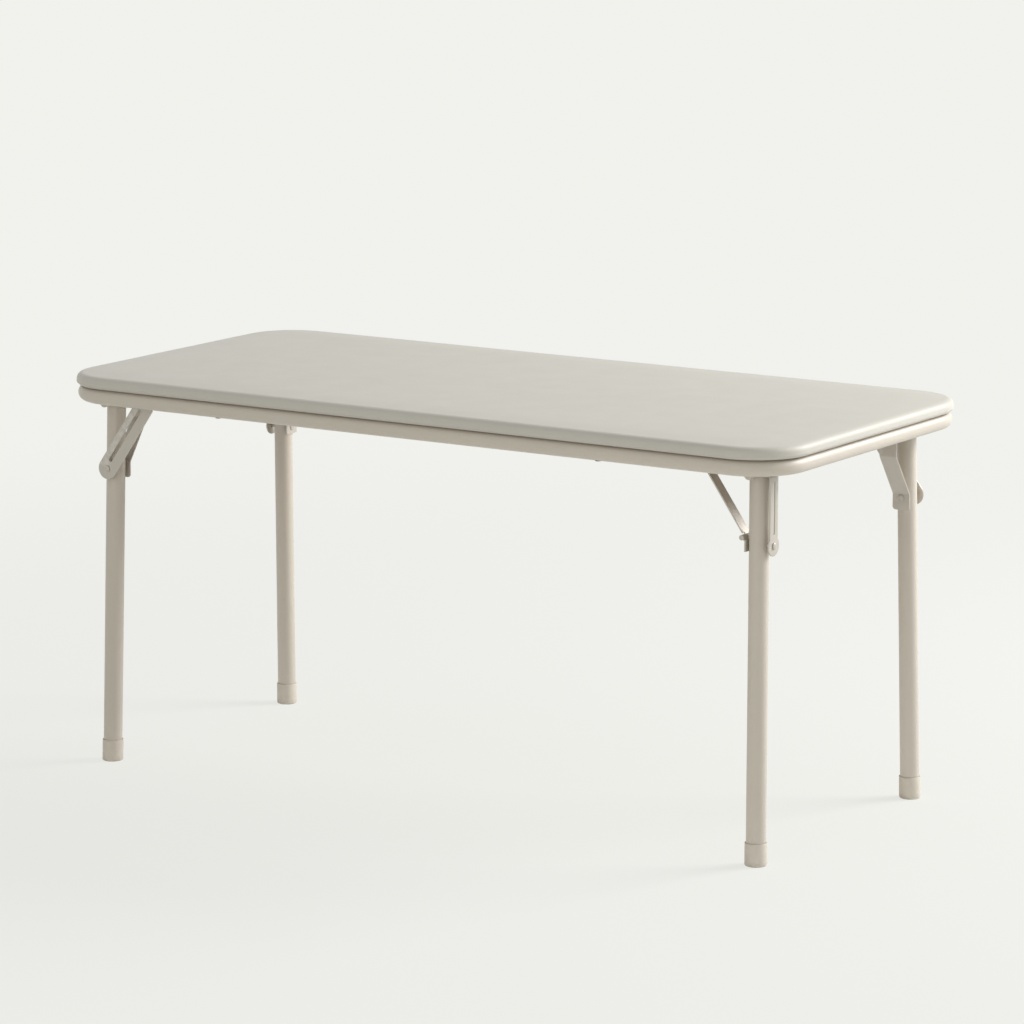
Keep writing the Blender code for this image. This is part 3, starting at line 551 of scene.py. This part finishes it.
def filleted(path, radius):
    """A path of straight runs with its bends rounded."""
    rounded = [Vector(path[0])]
    for before, here, after in zip(path, path[1:], path[2:]):
        here = Vector(here)
        arriving = (here - Vector(before)).normalized()
        leaving = (Vector(after) - here).normalized()
        turn = arriving.angle(leaving)
        reach = radius * math.tan(turn / 2)
        side = 1 if arriving[0] * leaving[1] - arriving[1] * leaving[0] > 0 else -1
        start = here - arriving * reach
        centre = start + Vector((-arriving[1], arriving[0])) * radius * side
        for i in range(BEND_STEPS + 1):
            spoke = Matrix.Rotation(side * turn * i / BEND_STEPS, 2) @ (start - centre)
            rounded.append(centre + spoke)
    rounded.append(Vector(path[-1]))
    return rounded


def path_lengths(path):
    """How far along a path each of its points lies."""
    lengths = [0.0]
    for a, b in zip(path, path[1:]):
        lengths.append(lengths[-1] + (b - a).length)
    return lengths


def bend_plate(shape, path, axis):
    """Bends a plate whose length follows its second coordinate along a path in the other two axes."""
    lengths = path_lengths(path)
    for length in lengths[1:-1]:
        everything = shape.verts[:] + shape.edges[:] + shape.faces[:]
        bmesh.ops.bisect_plane(shape, geom=everything, plane_co=(0, length, 0), plane_no=(0, 1, 0))
    normals = []
    for i in range(len(path)):
        forward = (path[min(i + 1, len(path) - 1)] - path[max(i - 1, 0)]).normalized()
        normals.append(Vector((-forward[1], forward[0])))
    for corner in shape.verts:
        beyond, along, height = corner.co
        i = 0
        while i < len(path) - 2 and along > lengths[i + 1]:
            i += 1
        share = (along - lengths[i]) / (lengths[i + 1] - lengths[i])
        middle = path[i].lerp(path[i + 1], share)
        clamped = min(max(share, 0.0), 1.0)
        normal = normals[i].lerp(normals[i + 1], clamped).normalized()
        spot = middle + normal * height
        corner.co = across(axis, beyond, *spot)


def mesh_of(name, shape):
    mesh = bpy.data.meshes.new(name)
    shape.to_mesh(mesh)
    shape.free()
    return mesh


def new_object(name, data):
    made = bpy.data.objects.new(name, data)
    bpy.context.scene.collection.objects.link(made)
    return made


def cut_out(piece, cutter):
    """Cuts a closed shape out of a piece."""
    bmesh.ops.recalc_face_normals(cutter, faces=cutter.faces)
    tool = new_object("cutter", mesh_of("cutter", cutter))
    cut = piece.modifiers.new("cut", "BOOLEAN")
    cut.operation = "DIFFERENCE"
    cut.solver = "EXACT"
    cut.object = tool
    graph = bpy.context.evaluated_depsgraph_get()
    done = bpy.data.meshes.new_from_object(piece.evaluated_get(graph))
    piece.modifiers.clear()
    piece.data = done
    bpy.data.objects.remove(tool)


def finish_piece(name, shape, body, slot, replaced, leg=None, smooth_degrees=35):
    """Turns a shape into a piece that rides on a body and stands for CAD nodes."""
    if leg:
        side_x, side_y = LEGS[leg]
        pivot = Vector((LEGS_MIDDLE + side_x * PIVOT_X, side_y * PIVOT_Y, PIVOT_Z))
        shape.transform(Matrix.Translation(pivot) @ Matrix.Diagonal((side_x, side_y, 1, 1)))
    bmesh.ops.remove_doubles(shape, verts=shape.verts, dist=1e-7)
    bmesh.ops.recalc_face_normals(shape, faces=shape.faces)
    mesh = mesh_of(name, shape)
    mesh.shade_smooth()
    mesh.set_sharp_from_angle(angle=math.radians(smooth_degrees))
    mesh.materials.append(finishes[slot])
    piece = new_object(name, mesh)
    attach(piece, body)
    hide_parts(*replaced)
    return piece


def soften_node(name, slot, width=0):
    """Gives a CAD node whose shape is right its finish and, where it has a width, rounded edges."""
    piece = nodes[name]
    piece.data.materials.clear()
    piece.data.materials.append(finishes[slot])
    if not width:
        return
    weld = piece.modifiers.new("weld", "WELD")
    weld.merge_threshold = 0.00001
    rounding = piece.modifiers.new("rounding", "BEVEL")
    rounding.width = width
    rounding.segments = 3
    rounding.limit_method = "ANGLE"
    rounding.angle_limit = math.radians(40)
    rounding.use_clamp_overlap = True
    normals = piece.modifiers.new("normals", "WEIGHTED_NORMAL")
    normals.keep_sharp = True


# The top and its rail

def plan_outline(inset):
    """The rounded rectangle of the top, moved inwards, with points along its straight runs too."""
    radius = CORNER_RADIUS - inset
    reach_x = HALF_LENGTH - CORNER_RADIUS
    reach_y = HALF_WIDTH - CORNER_RADIUS
    corners = []
    for number, (side_x, side_y) in enumerate(((1, 1), (-1, 1), (-1, -1), (1, -1))):
        start = number * QUARTER_TURN
        centre = (side_x * reach_x, side_y * reach_y)
        corners.append(arc(centre, radius, start, start + QUARTER_TURN, TOP_CORNER_STEPS))
    outline = []
    for number, points in enumerate(corners):
        outline += points
        following = Vector(corners[(number + 1) % 4][0])
        last = Vector(points[-1])
        steps = LONG_RUN_STEPS if number % 2 == 0 else SHORT_RUN_STEPS
        outline += [tuple(last.lerp(following, i / steps)) for i in range(1, steps)]
    return outline


def pad_seam():
    """The cover's hidden edge, turned in under the pad, as insets and heights."""
    inner = SEAM_INSET + COVER_THICKNESS
    half = COVER_THICKNESS / 2
    profile = [(inner, TOP_UNDERSIDE + BOARD_THICKNESS + 2 * SEAT_GAP), (inner, TOP_UNDERSIDE + half)]
    for angle in (200, 235, 270, 305, 340):
        turn = math.radians(angle)
        inset = SEAM_INSET + half * (1 - math.cos(turn))
        profile.append((inset, TOP_UNDERSIDE + half * (1 + math.sin(turn))))
    return profile


def pad_side():
    """The pad's belly, rolled edge and crown, as insets and heights."""
    foot = TOP_UNDERSIDE + COVER_THICKNESS / 2
    roll_centre = TABLE_HEIGHT - CROWN_RISE - ROLL_RADIUS
    profile = []
    for i in range(1, PAD_SIDE_STEPS):
        share = i / PAD_SIDE_STEPS
        belly = SEAM_INSET * (1 - math.sin(QUARTER_TURN * share))
        profile.append((belly, foot + (roll_centre - foot) * share))
    for i in range(PAD_ROLL_STEPS + 1):
        angle = QUARTER_TURN * i / PAD_ROLL_STEPS
        across_roll = math.cos(angle) ** ROLL_FULLNESS
        up_roll = math.sin(angle) ** ROLL_FULLNESS
        profile.append((ROLL_RADIUS * (1 - across_roll), roll_centre + ROLL_RADIUS * up_roll))
    for i in range(1, PAD_CROWN_STEPS + 1):
        share = i / PAD_CROWN_STEPS
        inset = ROLL_RADIUS + (CROWN_REACH - ROLL_RADIUS) * share
        profile.append((inset, TABLE_HEIGHT - CROWN_RISE * (1 - math.sin(QUARTER_TURN * share))))
    return profile


def ripple(x, y, z, scale):
    return noise.noise(Vector((x, y, z)) * scale)


def make_uneven(corner):
    """Moves a corner of the cover by its small unevenness, and puckers it along the edge."""
    x, y, z = corner.co
    high = min(max((z - TOP_UNDERSIDE) / PAD_THICKNESS, 0.0), 1.0)
    wave = ripple(x, y, z, BROAD_RIPPLE) + FINE_RIPPLE_SHARE * ripple(x, y, z, FINE_RIPPLE)
    corner.co.z += RIPPLE_LIFT * high * (wave - WAVE_CREST)
    near_edge = HALF_WIDTH - abs(y) < ROLL_RADIUS or HALF_LENGTH - abs(x) < ROLL_RADIUS
    if near_edge and z > TOP_UNDERSIDE + COVER_THICKNESS:
        inward = Vector((-x, -y, 0)).normalized()
        pucker = (1 + ripple(x, y, 0, PUCKER_RIPPLE)) / 2
        corner.co += inward * PUCKER_DEPTH * pucker * (1 - high / 2)


def make_pad():
    """The vinyl cover over foam: crowned, rolled over its edge, drawn in to the seam, a little uneven."""
    seam = pad_seam()
    rings = []
    for inset, height in seam + pad_side():
        rings.append([Vector((x, y, height)) for x, y in plan_outline(inset)])
    spine = HALF_LENGTH - HALF_WIDTH
    last = rings[-1]
    for i in range(1, PAD_MIDDLE_STEPS + 1):
        share = i / PAD_MIDDLE_STEPS * MIDDLE_REACH_SHARE
        ring = []
        for point in last:
            middle = Vector((min(max(point.x, -spine), spine), 0, TABLE_HEIGHT))
            ring.append(point.lerp(middle, share))
        rings.append(ring)
    shape = bmesh.new()
    rows = loft(shape, rings)
    for row in rows[len(seam):]:
        for corner in row:
            make_uneven(corner)
    replaced = ["top_cover", "foam_pad"]
    pad = finish_piece("padded_top", shape, "table_top", "vinyl_cover", replaced, smooth_degrees=60)


def make_rail():
    """The bent tube under the top's edge."""
    inset = RAIL_INSET + RAIL_TUBE_RADIUS
    height = TOP_UNDERSIDE - SEAT_GAP - RAIL_TUBE_RADIUS
    rings = []
    for out, up in circle((0, 0), RAIL_TUBE_RADIUS, RAIL_SIDES):
        rings.append([Vector((x, y, height + up)) for x, y in plan_outline(inset + out)])
    shape = bmesh.new()
    loft(shape, rings, closed=True)
    finish_piece("rail_tube", shape, "table_top", "painted_steel", ["frame_rail"])


# The legs

def leg_axis(height):
    return -height * SPLAY_X / PIVOT_Z, -height * SPLAY_Y / PIVOT_Z


def make_leg_tube(leg):
    """The tube with its wall, rounded at both rims."""
    bottom = -PIVOT_Z + CAP_FLOOR + SEAT_GAP
    rim = TUBE_WALL / 2
    middle = LEG_TUBE_RADIUS - rim
    profile = []
    for end, start in ((LEG_ABOVE_PIVOT - rim, 0), (bottom + rim, math.pi)):
        for i in range(LIP_STEPS + 1):
            angle = start + math.pi * i / LIP_STEPS
            profile.append((end + rim * math.sin(angle), middle + rim * math.cos(angle)))
    rings = []
    for along, radius in profile:
        rings.append([Vector((x, y, along)) for x, y in circle(leg_axis(along), radius, TUBE_SIDES)])
    shape = bmesh.new()
    loft(shape, rings, closed=True)
    finish_piece(f"tube_{leg}", shape, f"leg_{leg}", "painted_steel", [f"leg_tube_{leg}"], leg)


def make_cap(leg):
    """The plastic cup on the leg's end, with a rounded lip and a rounded foot."""
    floor = -PIVOT_Z
    bore = LEG_TUBE_RADIUS + SEAT_GAP
    outer = bore + CAP_WALL
    lip = CAP_WALL / 2
    lip_height = floor + CAP_HEIGHT - lip
    foot = CAP_FOOT_ROUNDING
    profile = [(floor + CAP_FLOOR, bore), (lip_height, bore)]
    for i in range(1, LIP_STEPS):
        angle = math.pi * i / LIP_STEPS
        profile.append((lip_height + lip * math.sin(angle), bore + lip - lip * math.cos(angle)))
    profile += [(lip_height, outer), (floor + CAP_HEIGHT * CAP_MIDDLE_SHARE, outer)]
    for i in range(LIP_STEPS + 1):
        angle = QUARTER_TURN * i / LIP_STEPS
        profile.append((floor + foot * (1 - math.sin(angle)), outer - foot * (1 - math.cos(angle))))
    shape = bmesh.new()
    turned(shape, "z", leg_axis, profile, TUBE_SIDES)
    finish_piece(f"cap_{leg}", shape, f"leg_{leg}", "foot_plastic", [f"foot_cap_{leg}"], leg)


def kind_of(leg):
    """Which brace a leg has: a flat plate on its outer side, or a bent strap on its inner end side."""
    side_x, side_y = LEGS[leg]
    return "plate" if side_x == side_y else "strap"


def brace_hinge(kind):
    """How far inwards and upwards from the leg's pivot the brace's hinge lies."""
    if kind == "plate":
        return 0.0, -RIVET_DROP
    return KNUCKLE_OFFSET, KNUCKLE_RISE - RIVET_DROP


def pin_shift(kind):
    """How far the sliding pin lies off the brace's middle."""
    return PLATE_PIN_SHIFT if kind == "plate" else 0.0


def brace_length(kind):
    """From the brace's hinge to its sliding pin."""
    rise = SLIDE_PIN_RISE - brace_hinge(kind)[1] - pin_shift(kind) * math.sin(BRACE_LEAN)
    return rise / math.cos(BRACE_LEAN)


def tab_middle(leg_middle):
    """The middle plane of a sheet tab beside the leg's inner face."""
    return leg_middle - LEG_TUBE_RADIUS - TAB_GAP - SHEET / 2


def stay_tab():
    return tab_middle(leg_axis(-RIVET_DROP)[1])


def clip_tab():
    return tab_middle(leg_axis(-RIVET_DROP)[0])


def make_pivot_rod(leg):
    """The rod on which the leg turns."""
    if kind_of(leg) == "plate":
        low = stay_tab() - STAY_OFFSET - SHEET / 2 - SEAT_GAP
    else:
        low = INNER_EAR_FACE - SHEET - SEAT_GAP
    ends = (low, WALL_FACE + SEAT_GAP)
    heads = (HEAD_THICKNESS, HEAD_THICKNESS)
    shape = bmesh.new()
    headed_pin(shape, "y", (0, 0), ends, ROD_RADIUS, ROD_HEAD_RADIUS, heads)
    finish_piece(f"rod_{leg}", shape, f"leg_{leg}", "painted_steel", [f"pivot_rod_{leg}"], leg)


def make_rivet(leg):
    """The rivet through the leg and the sheet pieces on both its sides."""
    if kind_of(leg) == "plate":
        axis = "y"
        centre = (0, -RIVET_DROP)
        low, high = stay_tab(), PLATE_BRACE_OFFSET
    else:
        axis = "x"
        centre = (leg_axis(-RIVET_DROP)[1], -RIVET_DROP)
        low, high = clip_tab(), STIFFENER_OFFSET
    ends = (low - SHEET / 2 - SEAT_GAP, high + SHEET + SEAT_GAP)
    heads = (FLAT_HEAD_THICKNESS, HEAD_THICKNESS)
    shape = bmesh.new()
    headed_pin(shape, axis, centre, ends, RIVET_RADIUS, RIVET_HEAD_RADIUS, heads)
    finish_piece(f"rivet_{leg}", shape, f"leg_{leg}", "brace_steel", [f"leg_rivet_{leg}"], leg)


def make_slide_pin(leg):
    """The pin at the brace's tip, which slides in the bracket's slot."""
    kind = kind_of(leg)
    hinge_in, hinge_up = brace_hinge(kind)
    pin_out, pin_up = Matrix.Rotation(BRACE_LEAN, 2) @ Vector((pin_shift(kind), brace_length(kind)))
    centre = (pin_out - hinge_in, pin_up + hinge_up)
    low = PLATE_BRACE_OFFSET if kind == "plate" else STRAP_CENTRE - STRAP_WIDTH / 2
    ends = (low - SEAT_GAP, WALL_FACE + SEAT_GAP)
    heads = (FLAT_HEAD_THICKNESS, HEAD_THICKNESS)
    shape = bmesh.new()
    headed_pin(shape, "y", centre, ends, PIN_RADIUS, PIN_HEAD_RADIUS, heads)
    finish_piece(f"sliding_pin_{leg}", shape, f"brace_{leg}", "brace_steel", [f"slide_pin_{leg}"], leg)


def rounded_rectangle(half_width, length, low_radius, high_radius):
    """An upright rectangle from 0 up, with rounded corners, counterclockwise from its lower left."""
    corners = [
        (-half_width + low_radius, low_radius, low_radius),
        (half_width - low_radius, low_radius, low_radius),
        (half_width - high_radius, length - high_radius, high_radius),
        (-half_width + high_radius, length - high_radius, high_radius),
    ]
    outline = []
    for number, (x, y, radius) in enumerate(corners):
        start = math.pi + number * QUARTER_TURN
        outline += arc((x, y), radius, start, start + QUARTER_TURN, SHEET_CORNER_STEPS)
    return outline


def make_stay(leg):
    """The bent strip from the rivet up to the inner end of the pivot rod."""
    tab = stay_tab()
    bend = STAY_TAB_RISE - RIVET_DROP
    path = filleted([
        (tab, -RIVET_DROP - STAY_TAB_DROP),
        (tab, bend),
        (tab - STAY_OFFSET, bend + STAY_SLOPE_RISE),
        (tab - STAY_OFFSET, STAY_TOP_RISE),
    ], STAY_BEND_RADIUS)
    length = path_lengths(path)[-1]
    outline = rounded_rectangle(STAY_WIDTH / 2, length, STAY_LOW_CORNER, STAY_HIGH_CORNER)
    rivet_hole = hole((0, STAY_TAB_DROP), RIVET_RADIUS)
    rod_hole = hole((0, length - STAY_TOP_RISE), ROD_RADIUS)
    shape = bmesh.new()
    sheet_plate(shape, outline, [rivet_hole, rod_hole])
    bend_plate(shape, path, "x")
    finish_piece(f"stay_{leg}", shape, f"leg_{leg}", "brace_steel", [f"leg_stay_{leg}"], leg)


def make_stiffener(leg):
    """The slotted plate on the leg's outer side, bent over to the tube at its top."""
    top = -STIFFENER_TOP_DROP
    bend = top - SHEET / 2
    low = -RIVET_DROP - STIFFENER_DISC_RADIUS
    plane = STIFFENER_OFFSET + SHEET / 2
    tube_face = leg_axis(top - SHEET)[0] + LEG_TUBE_RADIUS + SEAT_GAP
    path = filleted([(plane, low), (plane, bend), (tube_face, bend)], STIFFENER_BEND_RADIUS)
    length = path_lengths(path)[-1]
    half = STIFFENER_HALF_WIDTH
    neck = math.asin(half / STIFFENER_DISC_RADIUS)
    disc_start, disc_end = QUARTER_TURN + neck, 5 * QUARTER_TURN - neck
    centre = (0, STIFFENER_DISC_RADIUS)
    outline = arc(centre, STIFFENER_DISC_RADIUS, disc_start, disc_end, DISC_STEPS)
    outline += [(half, length), (-half, length)]
    slot_start = (0, STIFFENER_DISC_RADIUS + STIFFENER_SLOT_START)
    slot_end = (0, top - STIFFENER_SLOT_FROM_TOP - low)
    slot = slot_outline(slot_start, slot_end, STIFFENER_SLOT_HALF_WIDTH)
    shape = bmesh.new()
    sheet_plate(shape, outline, [slot, hole(centre, RIVET_RADIUS)])
    bend_plate(shape, path, "y")
    shape.transform(Matrix.Translation((0, leg_axis(-RIVET_DROP)[1], 0)))
    finish_piece(f"stiffener_{leg}", shape, f"leg_{leg}", "brace_steel", [f"leg_stiffener_{leg}"], leg)


def make_plate_brace(leg):
    """A flat slotted plate that turns on the rivet."""
    length = brace_length("plate")
    half = PLATE_HALF_WIDTH
    pin = (PLATE_PIN_SHIFT, length)
    outline = arc((0, 0), half, math.pi, math.tau, BRACE_FOOT_STEPS)
    outline += [(half, length - PLATE_TIP_TAPER)]
    outline += arc(pin, PLATE_TIP_RADIUS, 0, math.pi, BRACE_TIP_STEPS)
    outline += [(-half, length - PLATE_TIP_TAPER)]
    slot_start = (PLATE_SLOT_SHIFT, PLATE_SLOT_START)
    slot_end = (PLATE_SLOT_SHIFT, length - PLATE_SLOT_FROM_TIP)
    slot = slot_outline(slot_start, slot_end, PLATE_SLOT_HALF_WIDTH)
    shape = bmesh.new()
    sheet_plate(shape, outline, [slot, hole((0, 0), RIVET_RADIUS), hole(pin, PIN_RADIUS)])
    plane = PLATE_BRACE_OFFSET + SHEET / 2
    upright = Matrix(((1, 0, 0, 0), (0, 0, 1, plane), (0, 1, 0, 0), (0, 0, 0, 1)))
    lean = Matrix.Translation((0, 0, -RIVET_DROP)) @ Matrix.Rotation(-BRACE_LEAN, 4, "Y")
    shape.transform(lean @ upright)
    replaced = [f"folding_brace_{leg}"]
    finish_piece(f"plate_brace_{leg}", shape, f"brace_{leg}", "brace_steel", replaced, leg)


def make_leg(leg):
    """All that belongs to one leg and its brace."""
    for make in (make_leg_tube, make_cap, make_pivot_rod, make_rivet, make_slide_pin):
        make(leg)
    soften_node(f"mounting_bracket_{leg}", "painted_steel", NODE_EDGE_ROUNDING)
    if kind_of(leg) == "plate":
        make_plate_brace(leg)
        make_stay(leg)
        return
    soften_node(f"folding_brace_{leg}", "brace_steel", NODE_EDGE_ROUNDING)
    soften_node(f"brace_clip_{leg}", "brace_steel", NODE_EDGE_ROUNDING)
    soften_node(f"brace_hinge_pin_{leg}", "brace_steel", NODE_PIN_ROUNDING)
    make_stiffener(leg)


# Screws

def cross_outline(reach, half_width):
    """A cross with four arms round the origin."""
    corner = half_width * RECESS_CORNER_SHARE
    outline = []
    for number in range(4):
        turn = number * QUARTER_TURN
        for x, y in ((reach, -half_width), (reach, half_width), (corner, corner)):
            turned_x = x * math.cos(turn) - y * math.sin(turn)
            turned_y = x * math.sin(turn) + y * math.cos(turn)
            outline.append((turned_x, turned_y))
    return outline


def make_screw(name, slot, thickness=SCREW_HEAD_THICKNESS):
    """A pan-headed wood screw with a cross recess, in the place of its node."""
    low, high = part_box(name)
    middle_x, middle_y = (low[0] + high[0]) / 2, (low[1] + high[1]) / 2
    head = (high[0] - low[0]) / 2
    seat = low[2] + SCREW_HEAD_THICKNESS
    tip = high[2]
    profile = []
    for share in PAN_RADIUS_SHARES:
        profile.append((seat - thickness * dome_rise(share, PAN_RIM_SHARE), head * share))
    profile += [(seat, head), (seat, head * SHANK_LOW_SHARE)]
    profile += [(tip - SCREW_TIP_LENGTH, head * SHANK_HIGH_SHARE), (tip, head * SHANK_TOP_SHARE)]
    shape = bmesh.new()
    turned(shape, "z", (middle_x, middle_y), profile, SCREW_SIDES)
    piece = finish_piece(f"{name}_look", shape, "table_top", slot, [name])
    head_face = seat - thickness
    recess_end = head_face + thickness * RECESS_DEPTH_SHARE
    outline = cross_outline(head * RECESS_REACH_SHARE, RECESS_HALF_WIDTH)
    rings = []
    for z, scale in ((head_face - RECESS_OVERRUN, 1), (recess_end, RECESS_TAPER_SHARE)):
        rings.append([Vector((middle_x + x * scale, middle_y + y * scale, z)) for x, y in outline])
    cutter = bmesh.new()
    loft(cutter, rings)
    cut_out(piece, cutter)


# Studio

def seen_rays(tree):
    """1 for rays that show the background: from the camera, by reflection or through glass."""
    path = tree.nodes.new("ShaderNodeLightPath")
    value = path.outputs["Is Camera Ray"]
    for name in ("Is Glossy Ray", "Is Transmission Ray"):
        add = tree.nodes.new("ShaderNodeMath")
        add.operation = "MAXIMUM"
        tree.links.new(value, add.inputs[0])
        tree.links.new(path.outputs[name], add.inputs[1])
        value = add.outputs["Value"]
    return value


def mix_surfaces(tree, share, first, second, output):
    """Sends two surfaces to the output, the second one by its share."""
    mix = tree.nodes.new("ShaderNodeMixShader")
    tree.links.new(share, mix.inputs["Fac"])
    tree.links.new(first, mix.inputs[1])
    tree.links.new(second, mix.inputs[2])
    tree.links.new(mix.outputs["Shader"], tree.nodes[output].inputs["Surface"])


def make_floor():
    """A pale floor that keeps the shadows near the table and fades to the plain backdrop far away."""
    corners = [(x * FLOOR_REACH, y * FLOOR_REACH, 0) for x, y in ((-1, -1), (1, -1), (1, 1), (-1, 1))]
    shape = bmesh.new()
    shape.faces.new([shape.verts.new(corner) for corner in corners])
    floor = new_object("floor", mesh_of("floor", shape))
    paper = Shader("floor_paper", FLOOR_COLOUR, roughness=0.95, specular=0.1)
    glow = paper.add("ShaderNodeEmission")
    set_inputs(glow, {"Color": BACKDROP_COLOUR})
    distance = paper.add("ShaderNodeVectorMath", operation="LENGTH")
    paper.join(paper.place, distance.inputs[0])
    fade = paper.add("ShaderNodeMapRange", interpolation_type="SMOOTHSTEP")
    set_inputs(fade, {
        "From Min": FLOOR_FADE_START,
        "From Max": FLOOR_FADE_END,
        "To Min": FLOOR_FADE_LEAST,
    })
    paper.join(distance.outputs["Value"], fade.inputs["Value"])
    share = paper.product(fade.outputs["Result"], seen_rays(paper.tree))
    surfaces = paper.base.outputs["BSDF"], glow.outputs["Emission"]
    mix_surfaces(paper.tree, share, *surfaces, "Material Output")
    floor.data.materials.append(paper.material)


def make_world():
    """A soft light from all sides, with the plain backdrop behind it."""
    world = bpy.data.worlds.new("studio")
    bpy.context.scene.world = world
    world.use_nodes = True
    tree = world.node_tree
    light = tree.nodes["Background"]
    set_inputs(light, {"Color": WORLD_LIGHT_COLOUR, "Strength": WORLD_LIGHT_STRENGTH})
    backdrop = tree.nodes.new("ShaderNodeBackground")
    set_inputs(backdrop, {"Color": BACKDROP_COLOUR})
    surfaces = light.outputs["Background"], backdrop.outputs["Background"]
    mix_surfaces(tree, seen_rays(tree), *surfaces, "World Output")


def make_lamp(name, place, target, size, power, colour):
    """A round soft light that shines at a target and isn't seen itself."""
    data = bpy.data.lights.new(name, "AREA")
    data.shape = "DISK"
    data.size = size
    data.energy = power
    data.color = colour
    lamp = new_object(name, data)
    lamp.location = place
    lamp.rotation_euler = (Vector(target) - Vector(place)).to_track_quat("-Z", "Y").to_euler()
    lamp.visible_camera = False


def make_camera():
    data = bpy.data.cameras.new("camera")
    data.lens = CAMERA_LENS_MM
    data.sensor_width = CAMERA_SENSOR_MM
    data.clip_start = 0.1
    data.clip_end = 200
    camera = new_object("camera", data)
    camera.location = CAMERA_PLACE
    camera.rotation_euler = (QUARTER_TURN - CAMERA_PITCH, 0, CAMERA_AZIMUTH)
    bpy.context.scene.camera = camera


make_camera()
make_world()
make_lamp(
    "key",
    place=(2.45, 2.50, 2.30),
    target=(0, 0, 0.45),
    size=2.1,
    power=157,
    colour=(1.0, 0.995, 0.995),
)
make_lamp(
    "fill",
    place=(0.1, -4.8, 1.4),
    target=(0, 0, 0.35),
    size=2.6,
    power=27,
    colour=(1.0, 0.955, 0.83),
)
make_floor()
bpy.context.scene.view_settings.view_transform = "Standard"

make_pad()
make_rail()
for leg in LEGS:
    make_leg(leg)
    for number in (1, 2, 3):
        make_screw(f"bracket_screw_{leg}_{number}", "fastener_steel")
    make_screw(f"rail_screw_{leg}", "painted_steel", RAIL_SCREW_HEAD_THICKNESS)
soften_node("top_board", "board")
